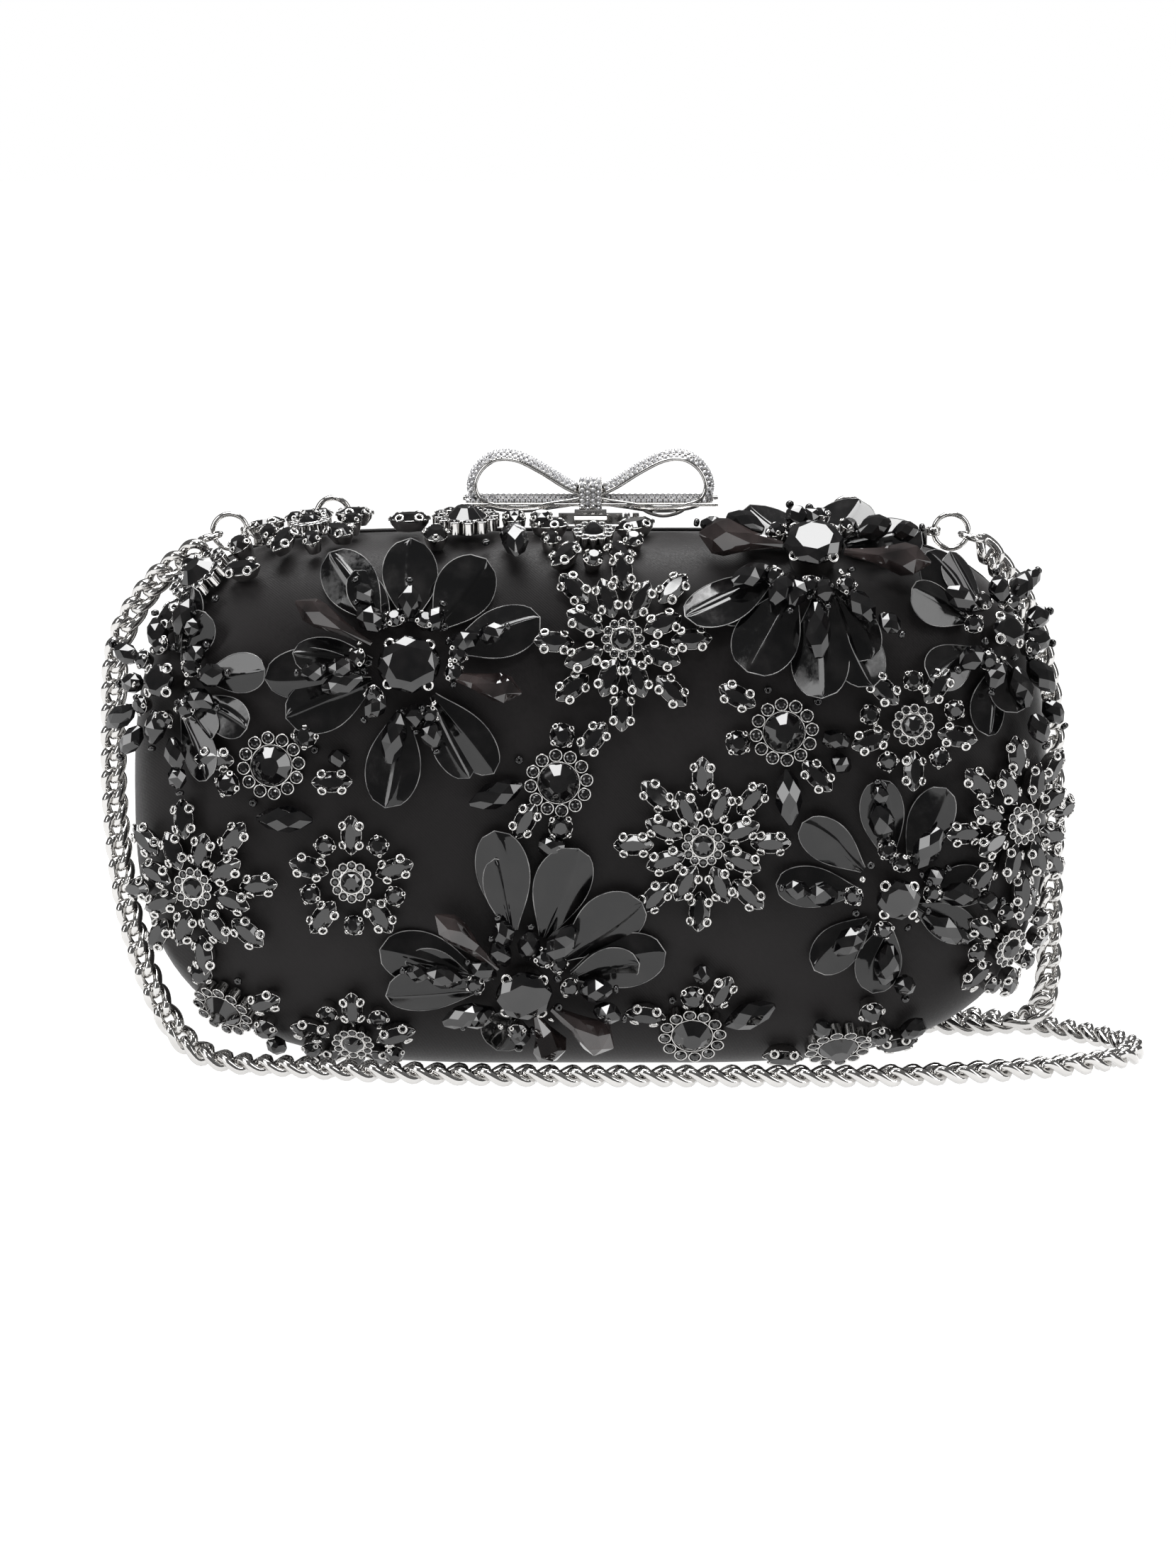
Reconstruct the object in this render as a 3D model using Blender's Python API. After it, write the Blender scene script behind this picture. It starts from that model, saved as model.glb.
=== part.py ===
"""Evening bag: a hinged box clutch with a bow clasp, stone flowers on its front and a chain strap.

X runs across the bag, Y from front to back and Z up. The bag stands on z = 0. The rear half is fixed,
and the front half turns about the hinge pin at the bottom of the parting plane.
"""

import math

import bmesh
import bpy
from mathutils import Vector

MM = 0.001
GAP = 0.3 * MM

# Body outline: a rounded box whose lower corners are rounder than its upper ones
BODY_HALF_WIDTH = 100 * MM
BODY_TOP = 116.7 * MM
BASE_CLIP = 1.0 * MM  # how much the flat base cuts off the rounded bottom
BODY_HALF_HEIGHT = (BODY_TOP + BASE_CLIP) / 2
BODY_CENTRE_Z = (BODY_TOP - BASE_CLIP) / 2
BODY_HALF_DEPTH = 30 * MM
CROWN_POWER = 6.0
BASE_POWER = 4.0
HEIGHT_POWER = 2.7
SIDE_POWER = 5.0
DEPTH_POWER = 3.0
PARTING_Y = 5.0 * MM  # the flowers stand out in front, so the halves meet behind the middle

# Layers of a half, outside in
COVER_THICKNESS = 0.5 * MM
SHELL_THICKNESS = 1.6 * MM
LINING_THICKNESS = 0.5 * MM
SHELL_OFFSET = -(COVER_THICKNESS + GAP)
LINING_OFFSET = SHELL_OFFSET - SHELL_THICKNESS - GAP

# Frames
FRAME_OFFSET = -0.6 * MM
FRAME_HEIGHT = 2.6 * MM
FRAME_WIDTH = 2.6 * MM
FRAME_BEVEL_HEIGHT = 1.2 * MM
FRAME_BEVEL_WIDTH = 1.0 * MM
FRAME_NEAR = GAP / 2
FRAME_FAR = FRAME_NEAR + FRAME_WIDTH
RIM = FRAME_FAR + GAP

# Hinge
HINGE_Z = 1.8 * MM
KNUCKLE_RADIUS = 1.5 * MM
KNUCKLE_LENGTH = 12.8 * MM
KNUCKLE_COUNT = 5
PIN_RADIUS = 0.6 * MM
PIN_HOLE_RADIUS = 0.9 * MM

# Clasp
CLASP_PIN_Y = 1.65 * MM  # behind the parting plane
CLASP_PIN_Z = 118.9 * MM
CLASP_PIN_RADIUS = 0.45 * MM
CLASP_HOLE_RADIUS = 0.75 * MM
LEVER_HALF_WIDTH = 7.0 * MM
EAR_INNER_X = 9.2 * MM
EAR_THICKNESS = 1.4 * MM
NOSE_HALF_WIDTH = 3.5 * MM
CLASP_SEAT_Z = BODY_TOP + FRAME_OFFSET + GAP
SPRING_TURNS = 3

# Bow
BOW_Y = 0.3 * MM  # behind the parting plane
BOW_HALF_DEPTH = 2.25 * MM
BOW_THICKNESS = 1.7 * MM
BOW_BOTTOM_Z = 121.2 * MM
TAIL_HALF_LENGTH = 27.8 * MM
TAIL_Z = 123.0 * MM
TAIL_THICKNESS = 2.2 * MM
KNOT_HALF_WIDTH = 2.5 * MM
KNOT_HEIGHT = 6.4 * MM
KNOT_WALL = 0.4 * MM

# Strap hardware
RING_RADIUS = 3.8 * MM
RING_WIRE = 0.6 * MM
RING_Y = 1.45 * MM  # behind the parting plane
RING_X = 78.9 * MM
RING_RISE = 5.2 * MM  # of the ring's centre above the body's edge
LUG_HOLE_RADIUS = 0.95 * MM
LUG_RADIUS = 1.55 * MM
LUG_HEIGHT = 1.8 * MM
SPARE_LOOP_X = 56.3 * MM
SPARE_LOOP_RADIUS = 3.5 * MM
SPARE_LOOP_WIRE = 0.55 * MM
LINK_RADIUS = 2.3 * MM
LINK_WIRE = 0.7 * MM
LINK_OFFSET = 0.7 * MM  # of the link's centre outside the ring's centre line

# Strap: a flat curb chain of 7 x 4 mm
CHAIN_DIAMETER = 5.5 * MM
CHAIN_STEP = 13.5 * MM
CHAIN_ON_FLOOR = CHAIN_DIAMETER / 2

# Flowers sewn on the front: name, x, z of the centre (mm), radius (mm), height (mm)
FLOWER_GAP = 1.2 * MM
FLOWER_STEP = 6 * MM
FLOWER_EDGE = -3.6 * MM  # flowers stay this far in front of the parting plane
PETAL_FLOWERS = (
    ("petal_flower_upper_left", -38.5, 85.0, 23, 9),
    ("petal_flower_upper_right", 47.7, 101.5, 17, 8),
    ("petal_flower_lower_left", -14.3, 29.0, 23, 8),
    ("petal_flower_lower_right", 65.8, 43.0, 16.5, 8),
    ("petal_flower_left_side", -80.0, 84.0, 11, 6),
    ("petal_flower_right_side", 86.0, 93.0, 12, 6),
)
SNOWFLAKES = (
    ("snowflake_top", 6.9, 93.5, 14, 5),
    ("snowflake_centre", 24.1, 52.5, 15, 6),
    ("snowflake_left", -79.0, 42.5, 12, 6),
    ("snowflake_right", 88.5, 56.5, 10.5, 6),
)
STARS = (
    ("star_left", -51.2, 44.5, 10.5, 5),
    ("star_right", 69.0, 77.0, 10.5, 5),
    ("star_top_left", -60.0, 113.0, 10, 4.5),
    ("star_top", 0.5, 114.6, 9, 4.5),
    ("star_bottom_left", -51.0, 12.5, 9, 4),
    ("star_lower_right", 86.0, 28.0, 9, 4.5),
)
ROSETTES = (
    ("rosette_left", -68.4, 69.0, 7.5, 5),
    ("rosette_centre", -6.8, 65.5, 8, 5),
    ("rosette_right", 41.3, 75.5, 8, 5),
    ("rosette_top", -27.0, 115.9, 7.5, 4.5),
    ("rosette_upper_left", -80.0, 106.0, 7, 4.5),
    ("rosette_lower_left", -76.0, 16.5, 8, 4),
    ("rosette_bottom", 22.1, 10.5, 8, 4),
    ("rosette_bottom_right", 52.5, 9.5, 8, 4),
)

SATIN_BLACK = (0.022, 0.020, 0.021)
LINING_GREY = (0.10, 0.10, 0.105)
BOARD_GREY = (0.32, 0.31, 0.30)
SILVER = (0.80, 0.80, 0.82)
STEEL = (0.55, 0.55, 0.57)
JET = (0.012, 0.012, 0.014)
CRYSTAL = (0.88, 0.88, 0.90)


def make_material(name, colour, roughness, metallic=0.0):
    """A plain Principled material."""
    material = bpy.data.materials.new(name)
    material.use_nodes = True
    shader = material.node_tree.nodes["Principled BSDF"]
    shader.inputs["Base Color"].default_value = (*colour, 1.0)
    shader.inputs["Roughness"].default_value = roughness
    shader.inputs["Metallic"].default_value = metallic
    return material


def add_mesh(name, vertices, faces, material):
    """One closed mesh object with its faces pointing out."""
    mesh = bpy.data.meshes.new(name)
    mesh.from_pydata([tuple(v) for v in vertices], [], faces)
    shape = bmesh.new()
    shape.from_mesh(mesh)
    bmesh.ops.recalc_face_normals(shape, faces=shape.faces)
    shape.to_mesh(mesh)
    shape.free()
    mesh.materials.append(material)
    obj = bpy.data.objects.new(name, mesh)
    bpy.context.scene.collection.objects.link(obj)
    return obj


def add_tool(name, vertices, faces):
    """A solid that only serves to join or cut another one."""
    tool = add_mesh(name, vertices, faces, MATERIALS["silver"])
    tool.hide_render = True
    tool.display_type = "WIRE"
    return tool


def combine(obj, tool, operation):
    """Join a tool to an object, or cut the object with it."""
    modifier = obj.modifiers.new(tool.name, "BOOLEAN")
    modifier.operation = operation
    modifier.solver = "EXACT"
    modifier.object = tool


def smooth(obj, degrees=35):
    """Shade round pieces smooth and keep their real edges."""
    obj.data.shade_smooth()
    obj.data.set_sharp_from_angle(angle=math.radians(degrees))


def prism(outline, low, high, axis="X"):
    """Vertices and faces of an outline of (y, z) or (x, z) pairs, extruded along X or Y."""
    count = len(outline)
    vertices = []
    for level in (low, high):
        for first, second in outline:
            vertices.append((level, first, second) if axis == "X" else (first, level, second))
    faces = [tuple(range(count)), tuple(range(2 * count - 1, count - 1, -1))]
    for i in range(count):
        j = (i + 1) % count
        faces.append((i, j, j + count, i + count))
    return vertices, faces


def box(x_range, y_range, z_range):
    """Vertices and faces of a box."""
    (y0, y1), (z0, z1) = y_range, z_range
    return prism(((y0, z0), (y1, z0), (y1, z1), (y0, z1)), *x_range)


def disc(centre, radius, sides):
    """Points of a circle as (first, second) pairs."""
    turn = 2 * math.pi / sides
    return [
        (centre[0] + radius * math.cos(i * turn), centre[1] + radius * math.sin(i * turn))
        for i in range(sides)
    ]


def closed_sweep(sections):
    """Vertices and faces of a ring made by joining equal sections, the last one to the first."""
    count, size = len(sections), len(sections[0])
    vertices = [point for section in sections for point in section]
    faces = []
    for i in range(count):
        here, after = i * size, (i + 1) % count * size
        for j in range(size):
            k = (j + 1) % size
            faces.append((here + j, here + k, after + k, after + j))
    return vertices, faces


# The body's surface


def outline_point(angle):
    """Where the body's outline, scaled to a half-width and half-height of 1, is met at an angle."""
    across, up = math.cos(angle), math.sin(angle)
    power = CROWN_POWER if up >= 0 else BASE_POWER
    low, high = 0.5, 1.5
    for _ in range(40):
        reach = (low + high) / 2
        if abs(reach * across) ** power + abs(reach * up) ** HEIGHT_POWER < 1:
            low = reach
        else:
            high = reach
    return low * across, low * up


def dome_power(angle):
    """How square the dome is on its way from the rim to the middle, at an angle of the outline."""
    return HEIGHT_POWER + (SIDE_POWER - HEIGHT_POWER) * math.cos(angle) ** 2


def body_point(angle, climb, offset, side):
    """A point of a half's surface: climb runs from 0 at the parting plane to pi / 2 at the middle."""
    across, up = outline_point(angle)
    spread = max(math.cos(climb), 0.0) ** (2 / dome_power(angle))
    depth = math.sin(climb) ** (2 / DEPTH_POWER)
    x = (BODY_HALF_WIDTH + offset) * across * spread
    z = BODY_CENTRE_Z + (BODY_HALF_HEIGHT + offset) * up * spread
    y = PARTING_Y + side * (BODY_HALF_DEPTH + offset) * depth
    return Vector((x, y, max(z, -offset)))


def fullness(point):
    """Below 0 inside the body and above 0 outside it."""
    across = point.x / BODY_HALF_WIDTH
    up = (point.z - BODY_CENTRE_Z) / BODY_HALF_HEIGHT
    angle = math.atan2(up, across)
    edge = math.hypot(*outline_point(angle))
    spread = math.hypot(across, up) / edge
    depth = abs(point.y - PARTING_Y) / BODY_HALF_DEPTH
    return spread ** dome_power(angle) + depth**DEPTH_POWER - 1


def slope(point):
    """The gradient of fullness."""
    step = 0.02 * MM
    parts = []
    for axis in range(3):
        ahead, behind = point.copy(), point.copy()
        ahead[axis] += step
        behind[axis] -= step
        parts.append((fullness(ahead) - fullness(behind)) / (2 * step))
    return Vector(parts)


def settle(point):
    """The point of the body's surface that a nearby point falls on."""
    for _ in range(6):
        gradient = slope(point)
        point = point - gradient * (fullness(point) / gradient.length_squared)
    return point


def front_point(x, z):
    """The point of the front surface with this x and z."""
    near, far = 0.0, BODY_HALF_DEPTH
    for _ in range(40):
        depth = (near + far) / 2
        if fullness(Vector((x, PARTING_Y - depth, z))) < 0:
            near = depth
        else:
            far = depth
    return Vector((x, PARTING_Y - near, z))


def walk(start, heading, distance, step=2 * MM):
    """Follow the front surface from a point, and stop short of the parting plane."""
    point = start.copy()
    travelled = 0.0
    while travelled < distance:
        stride = min(step, distance - travelled)
        normal = slope(point).normalized()
        heading = (heading - normal * heading.dot(normal)).normalized()
        ahead = settle(point + heading * stride)
        if ahead.y - PARTING_Y > FLOWER_EDGE:
            break
        point = ahead
        travelled += stride
    return point


# The two halves


def outline_angles(count):
    """Angles round the outline, closer together at its corners."""
    angles = []
    for i in range(count):
        even = 2 * math.pi * i / count
        angles.append(even - 0.13 * math.sin(4 * even))
    return angles


def half_shell(name, outer, thickness, side, material):
    """One layer of a half: a domed skin that is open at the parting plane."""
    angles = outline_angles(40)
    climbs = [math.asin((RIM / BODY_HALF_DEPTH) ** (DEPTH_POWER / 2))]
    climbs += [math.radians(degrees) for degrees in (12.2, 27, 42, 57, 74)]  # the first ends the flat base
    vertices, faces = [], []
    for offset in (outer, outer - thickness):
        for climb in climbs:
            vertices += [body_point(angle, climb, offset, side) for angle in angles]
        vertices.append(Vector((0, PARTING_Y + side * (BODY_HALF_DEPTH + offset), BODY_CENTRE_Z)))
    # Both rims lie in one plane, so that the skin's edge is flat
    count = len(angles)
    skin = count * len(climbs) + 1
    for index in list(range(count)) + list(range(skin, skin + count)):
        vertices[index].y = PARTING_Y + side * RIM
    for start in (0, skin):
        for row in range(len(climbs) - 1):
            for i in range(count):
                here, after = start + row * count, start + (row + 1) * count
                j = (i + 1) % count
                faces.append((here + i, here + j, after + j, after + i))
        last, pole = start + (len(climbs) - 1) * count, start + skin - 1
        faces += [(last + i, last + (i + 1) % count, pole) for i in range(count)]
    faces += [(i, (i + 1) % count, skin + (i + 1) % count, skin + i) for i in range(count)]
    obj = add_mesh(name, vertices, faces, material)
    smooth(obj, 60)
    return obj


def frame_ring(name, side, material):
    """A half's metal frame, bevelled towards the parting plane so that the halves can hinge."""
    top = FRAME_OFFSET
    profile = (
        (top - FRAME_HEIGHT, FRAME_NEAR),
        (top - FRAME_BEVEL_HEIGHT, FRAME_NEAR),
        (top, FRAME_NEAR + FRAME_BEVEL_WIDTH),
        (top, FRAME_FAR),
        (top - FRAME_HEIGHT, FRAME_FAR),
    )
    sections = []
    for angle in outline_angles(56):
        section = []
        for offset, distance in profile:
            point = body_point(angle, 0.0, offset, side)
            point.y = PARTING_Y + side * distance
            section.append(point)
        sections.append(section)
    return add_mesh(name, *closed_sweep(sections), material)


def knuckle_spans(side):
    """The stretches of X that hold a half's knuckles: the rear has the odd ones."""
    length = KNUCKLE_LENGTH + GAP
    first = -KNUCKLE_COUNT * length / 2
    spans = []
    for index in range(KNUCKLE_COUNT):
        if (index % 2 == 0) == (side > 0):
            start = first + index * length + GAP / 2
            spans.append((start, start + KNUCKLE_LENGTH))
    return spans


def framed_half(name, side, material):
    """A frame with its own knuckles joined on and room cut for the other half's."""
    obj = frame_ring(name, side, material)
    centre = (PARTING_Y, HINGE_Z)
    for index, (low, high) in enumerate(knuckle_spans(-side)):
        room = prism(disc(centre, KNUCKLE_RADIUS + GAP, 20), low - GAP, high + GAP)
        combine(obj, add_tool(f"{name}_room_{index}", *room), "DIFFERENCE")
    for index, (low, high) in enumerate(knuckle_spans(side)):
        knuckle = prism(disc(centre, KNUCKLE_RADIUS, 16), low, high)
        combine(obj, add_tool(f"{name}_knuckle_{index}", *knuckle), "UNION")
    reach = KNUCKLE_COUNT * KNUCKLE_LENGTH / 2 + 3 * MM
    hole = prism(disc(centre, PIN_HOLE_RADIUS, 12), -reach, reach)
    combine(obj, add_tool(f"{name}_pin_hole", *hole), "DIFFERENCE")
    return obj


def hinge_pin(material):
    """The pin through all the knuckles."""
    reach = KNUCKLE_COUNT * (KNUCKLE_LENGTH + GAP) / 2
    obj = add_mesh("hinge_pin", *prism(disc((0, 0), PIN_RADIUS, 12), -reach, reach), material)
    obj.location = (0, PARTING_Y, HINGE_Z)
    smooth(obj)
    return obj


def slip_pocket(material):
    """A flat fabric pocket front inside the rear half."""
    width, low, high = 40 * MM, 36 * MM, 80 * MM
    back = PARTING_Y + BODY_HALF_DEPTH - 6.2 * MM
    panel = box((-width, width), (back, back + 0.6 * MM), (low, high))
    return add_mesh("slip_pocket", *panel, material)


# The clasp and its bow


def clasp_base(material):
    """A saddle on the rear frame with two ears for the pin."""
    near, far = PARTING_Y + GAP, PARTING_Y + FRAME_FAR
    reach = EAR_INNER_X + EAR_THICKNESS
    plate_top = CLASP_SEAT_Z + 0.8 * MM
    obj = add_mesh("clasp_base", *box((-reach, reach), (near, far), (CLASP_SEAT_Z, plate_top)), material)
    ear_top = CLASP_PIN_Z + 1.2 * MM
    for index, side in enumerate((-1, 1)):
        span = sorted((side * EAR_INNER_X, side * reach))
        ear = box(span, (near + 0.2 * MM, far - 0.05 * MM), (CLASP_SEAT_Z + 0.2 * MM, ear_top))
        combine(obj, add_tool(f"clasp_ear_{index}", *ear), "UNION")
    centre = (PARTING_Y + CLASP_PIN_Y, CLASP_PIN_Z)
    hole = prism(disc(centre, CLASP_HOLE_RADIUS, 12), -2 * reach, 2 * reach)
    combine(obj, add_tool("clasp_base_hole", *hole), "DIFFERENCE")
    return obj


def clasp_pin(material):
    """The pin that the lever turns on."""
    reach = EAR_INNER_X + EAR_THICKNESS
    rod = prism(disc((0, 0), CLASP_PIN_RADIUS, 10), -reach, reach)
    obj = add_mesh("clasp_pin", *rod, material)
    obj.location = (0, PARTING_Y + CLASP_PIN_Y, CLASP_PIN_Z)
    return obj


def local_outline(points):
    """An outline of (y, z) pairs in millimetres, measured from the clasp's pin."""
    return [(y * MM, z * MM) for y, z in points]


def clasp_lever(material):
    """A bar on the pin, with a riser for the bow and a nose that hooks over the catch."""
    bar = local_outline(((-1.15, -1.1), (1.1, -1.1), (1.1, 1.2), (-1.15, 1.2)))
    obj = add_mesh("clasp_lever", *prism(bar, -LEVER_HALF_WIDTH, LEVER_HALF_WIDTH), material)
    hook = ((0, -0.3), (-4.5, -0.3), (-4.5, -0.6), (-5.5, -0.9), (-5.5, 0.4), (-4.9, 1.0), (0, 1.0))
    riser = ((-2.6, 0.6), (0.9, 0.6), (0.9, 2.0), (-2.6, 2.0))
    for name, outline in (("clasp_hook", hook), ("clasp_riser", riser)):
        shape = prism(local_outline(outline), -NOSE_HALF_WIDTH, NOSE_HALF_WIDTH)
        tool = add_tool(name, *shape)
        tool.parent = obj
        combine(obj, tool, "UNION")
    hole = add_tool("lever_hole", *prism(disc((0, 0), CLASP_HOLE_RADIUS, 12), -10 * MM, 10 * MM))
    hole.parent = obj
    combine(obj, hole, "DIFFERENCE")
    obj.location = (0, PARTING_Y + CLASP_PIN_Y, CLASP_PIN_Z)
    return obj


def clasp_spring(material):
    """A torsion spring on the pin, between the lever and an ear."""
    radius, wire, points_per_turn = 1.15 * MM, 0.22 * MM, 12
    length = EAR_INNER_X - LEVER_HALF_WIDTH - 2 * GAP - 2 * wire
    points = SPRING_TURNS * points_per_turn + 1
    curve = bpy.data.curves.new("clasp_spring", "CURVE")
    curve.dimensions = "3D"
    curve.render_resolution_u = 0
    curve.bevel_depth = wire
    curve.bevel_resolution = 1
    curve.use_fill_caps = True
    spline = curve.splines.new("POLY")
    spline.points.add(points - 1)
    for index in range(points):
        turn = 2 * math.pi * index / points_per_turn
        x = LEVER_HALF_WIDTH + GAP + wire + length * index / (points - 1)
        spline.points[index].co = (x, radius * math.cos(turn), radius * math.sin(turn), 1)
    obj = bpy.data.objects.new("clasp_spring", curve)
    obj.location = (0, PARTING_Y + CLASP_PIN_Y, CLASP_PIN_Z)
    curve.materials.append(material)
    bpy.context.scene.collection.objects.link(obj)
    return obj


def catch_block(material):
    """The catch on the front frame, with a ramped front face."""
    low, high = CLASP_SEAT_Z, 117.6 * MM
    outline = ((-2.6, low), (-0.5, low), (-0.5, high), (-2.0, high), (-2.6, high - 0.5 * MM))
    outline = [(PARTING_Y + y * MM, z) for y, z in outline]
    return add_mesh("catch_block", *prism(outline, -3 * MM, 3 * MM), material)


def bow_loop_path(side):
    """The centre line of one loop of the bow, as (x, z) pairs: a teardrop that starts at the knot."""
    corners = (
        (0.5, 124.0), (5.5, 126.6), (11.0, 130.0), (16.0, 132.4), (20.5, 132.6), (24.0, 130.3),
        (25.6, 126.6), (24.4, 123.2), (20.0, 121.7), (14.0, 121.4), (8.0, 122.2), (3.0, 123.0),
    )
    return smooth_route([Vector((side * x * MM, 0, z * MM)) for x, z in corners], 2.2 * MM, True)


def bow_ribbon(material):
    """Both loops and both tails, cast in one piece."""
    y_range = (PARTING_Y + BOW_Y - BOW_HALF_DEPTH, PARTING_Y + BOW_Y + BOW_HALF_DEPTH)
    tail = box(
        (-TAIL_HALF_LENGTH, TAIL_HALF_LENGTH), y_range,
        (TAIL_Z - TAIL_THICKNESS / 2, TAIL_Z + TAIL_THICKNESS / 2),
    )
    obj = add_mesh("bow_ribbon", *tail, material)
    inset = 0.15 * MM
    for index, side in enumerate((-1, 1)):
        path = bow_loop_path(side)
        sections = []
        for i, point in enumerate(path):
            along = (path[(i + 1) % len(path)] - path[i - 1]).normalized()
            out = Vector((along.z, 0, -along.x)) * BOW_THICKNESS / 2
            section = []
            for sign, y in ((-1, y_range[0]), (1, y_range[0]), (1, y_range[1]), (-1, y_range[1])):
                corner = point + out * sign
                corner.y = y + inset if y == y_range[0] else y - inset
                section.append(corner)
            sections.append(section)
        combine(obj, add_tool(f"bow_loop_{index}", *closed_sweep(sections)), "UNION")
    return obj


def bow_knot(material):
    """The band round the bow's waist."""
    middle_y = PARTING_Y + BOW_Y
    low, high = BOW_BOTTOM_Z, BOW_BOTTOM_Z + KNOT_HEIGHT
    half = BOW_HALF_DEPTH + 1.0 * MM
    corner = 1.0 * MM
    outline = (
        (middle_y - half, low + corner), (middle_y - half + corner, low),
        (middle_y + half - corner, low), (middle_y + half, low + corner),
        (middle_y + half, high - corner), (middle_y + half - corner, high),
        (middle_y - half + corner, high), (middle_y - half, high - corner),
    )
    obj = add_mesh("bow_knot", *prism(outline, -KNOT_HALF_WIDTH, KNOT_HALF_WIDTH), material)
    hollow = BOW_HALF_DEPTH + GAP
    room = box(
        (-2 * KNOT_HALF_WIDTH, 2 * KNOT_HALF_WIDTH), (middle_y - hollow, middle_y + hollow),
        (low + KNOT_WALL, high - KNOT_WALL),
    )
    combine(obj, add_tool("bow_knot_room", *room), "DIFFERENCE")
    return obj


# Strap hardware


def edge_height(x, offset=0.0):
    """The height of the body's upper edge at an x."""
    across = abs(x) / (BODY_HALF_WIDTH + offset)
    up = (1 - across**CROWN_POWER) ** (1 / HEIGHT_POWER)
    return BODY_CENTRE_Z + (BODY_HALF_HEIGHT + offset) * up


def ring_centre(side):
    """The centre of a strap ring."""
    x = side * RING_X
    return Vector((x, PARTING_Y + RING_Y, edge_height(x) + RING_RISE))


def torus(centre, radius, wire, axis, around=20, sides=8):
    """Vertices and faces of a wire ring about an axis."""
    turn = Vector((0, 0, 1)).rotation_difference(axis).to_matrix()
    sections = []
    for i in range(around):
        angle = 2 * math.pi * i / around
        out = turn @ Vector((math.cos(angle), math.sin(angle), 0))
        section = []
        for j in range(sides):
            bend = 2 * math.pi * j / sides
            section.append(out * (radius + wire * math.cos(bend)) + turn @ Vector((0, 0, wire * math.sin(bend))))
        sections.append(section)
    vertices, faces = closed_sweep(sections)
    return [centre + vertex for vertex in vertices], faces


def strap_lug(name, side, material):
    """An upright eyelet beside the ring, on a foot that stands on the rear frame."""
    centre = ring_centre(side) - Vector((side * RING_RADIUS, 0, 0))
    low, high = centre.z - LUG_HEIGHT / 2, centre.z + LUG_HEIGHT / 2
    tube = [(x, y) for x, y in disc((centre.x, centre.y), LUG_RADIUS, 16)]
    vertices = [(x, y, z) for z in (low, high) for x, y in tube]
    faces = prism(tube, 0, 1)[1]
    obj = add_mesh(name, vertices, faces, material)
    near, far = centre.x - side * 1.1 * MM, centre.x - side * 3.4 * MM
    foot_z = edge_height(far, FRAME_OFFSET) + GAP
    foot = box(sorted((near, far)), (centre.y - 1.0 * MM, centre.y + 1.0 * MM), (foot_z, high - 0.1 * MM))
    combine(obj, add_tool(f"{name}_foot", *foot), "UNION")
    bore = disc((centre.x, centre.y), LUG_HOLE_RADIUS, 14)
    hole = [(x, y, z) for z in (low - MM, high + MM) for x, y in bore]
    combine(obj, add_tool(f"{name}_hole", hole, prism(bore, 0, 1)[1]), "DIFFERENCE")
    return obj


def strap_ring(name, side, material):
    """The open ring between the lug and the chain, with its origin on the lug's axis."""
    centre = ring_centre(side)
    pivot = centre - Vector((side * RING_RADIUS, 0, 0))
    vertices, faces = torus(centre - pivot, RING_RADIUS, RING_WIRE, Vector((0, 1, 0)))
    obj = add_mesh(name, vertices, faces, material)
    obj.location = pivot
    smooth(obj, 60)
    return obj


def link_direction(side):
    """From a ring's centre to where its end link hangs."""
    return Vector((side * 0.96, 0, -0.28)).normalized()


def end_link(name, side, material):
    """The chain's last link, through the ring."""
    out = link_direction(side)
    centre = ring_centre(side) + out * (RING_RADIUS + LINK_OFFSET)
    axis = Vector((-out.z, 0, out.x))
    obj = add_mesh(name, *torus(centre, LINK_RADIUS, LINK_WIRE, axis, 16, 8), material)
    smooth(obj, 60)
    return obj


def spare_loop(name, side, material):
    """An upright wire loop on the rear frame, for a shorter strap."""
    x = side * SPARE_LOOP_X
    rise = SPARE_LOOP_RADIUS + SPARE_LOOP_WIRE + GAP + 0.3 * MM
    centre = Vector((x, PARTING_Y + RING_Y, edge_height(x, FRAME_OFFSET) + rise))
    vertices, faces = torus(centre, SPARE_LOOP_RADIUS, SPARE_LOOP_WIRE, Vector((0, 1, 0)), 20, 6)
    obj = add_mesh(name, vertices, faces, material)
    smooth(obj, 60)
    return obj


# The chain


def smooth_route(points, step, closed=False):
    """Points at about a step apart along a smooth curve through the given ones."""
    count = len(points)
    dense = []
    for i in range(count if closed else count - 1):
        if closed:
            a, b, c, d = (points[(i + k) % count] for k in (-1, 0, 1, 2))
        else:
            a, b, c, d = (points[min(max(i + k, 0), count - 1)] for k in (-1, 0, 1, 2))
        for part in range(12):
            t = part / 12
            dense.append(
                0.5 * (2 * b + (c - a) * t + (2 * a - 5 * b + 4 * c - d) * t**2 + (3 * b - a - 3 * c + d) * t**3)
            )
    dense.append(points[0] if closed else points[-1])
    lengths = [0.0]
    for before, after in zip(dense, dense[1:]):
        lengths.append(lengths[-1] + (after - before).length)
    pieces = max(2, round(lengths[-1] / step))
    route = []
    place = 0
    for index in range(pieces if closed else pieces + 1):
        target = lengths[-1] * index / pieces
        while place < len(lengths) - 2 and lengths[place + 1] < target:
            place += 1
        share = (target - lengths[place]) / max(lengths[place + 1] - lengths[place], 1e-9)
        route.append(dense[place].lerp(dense[place + 1], min(share, 1.0)))
    return route


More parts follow.
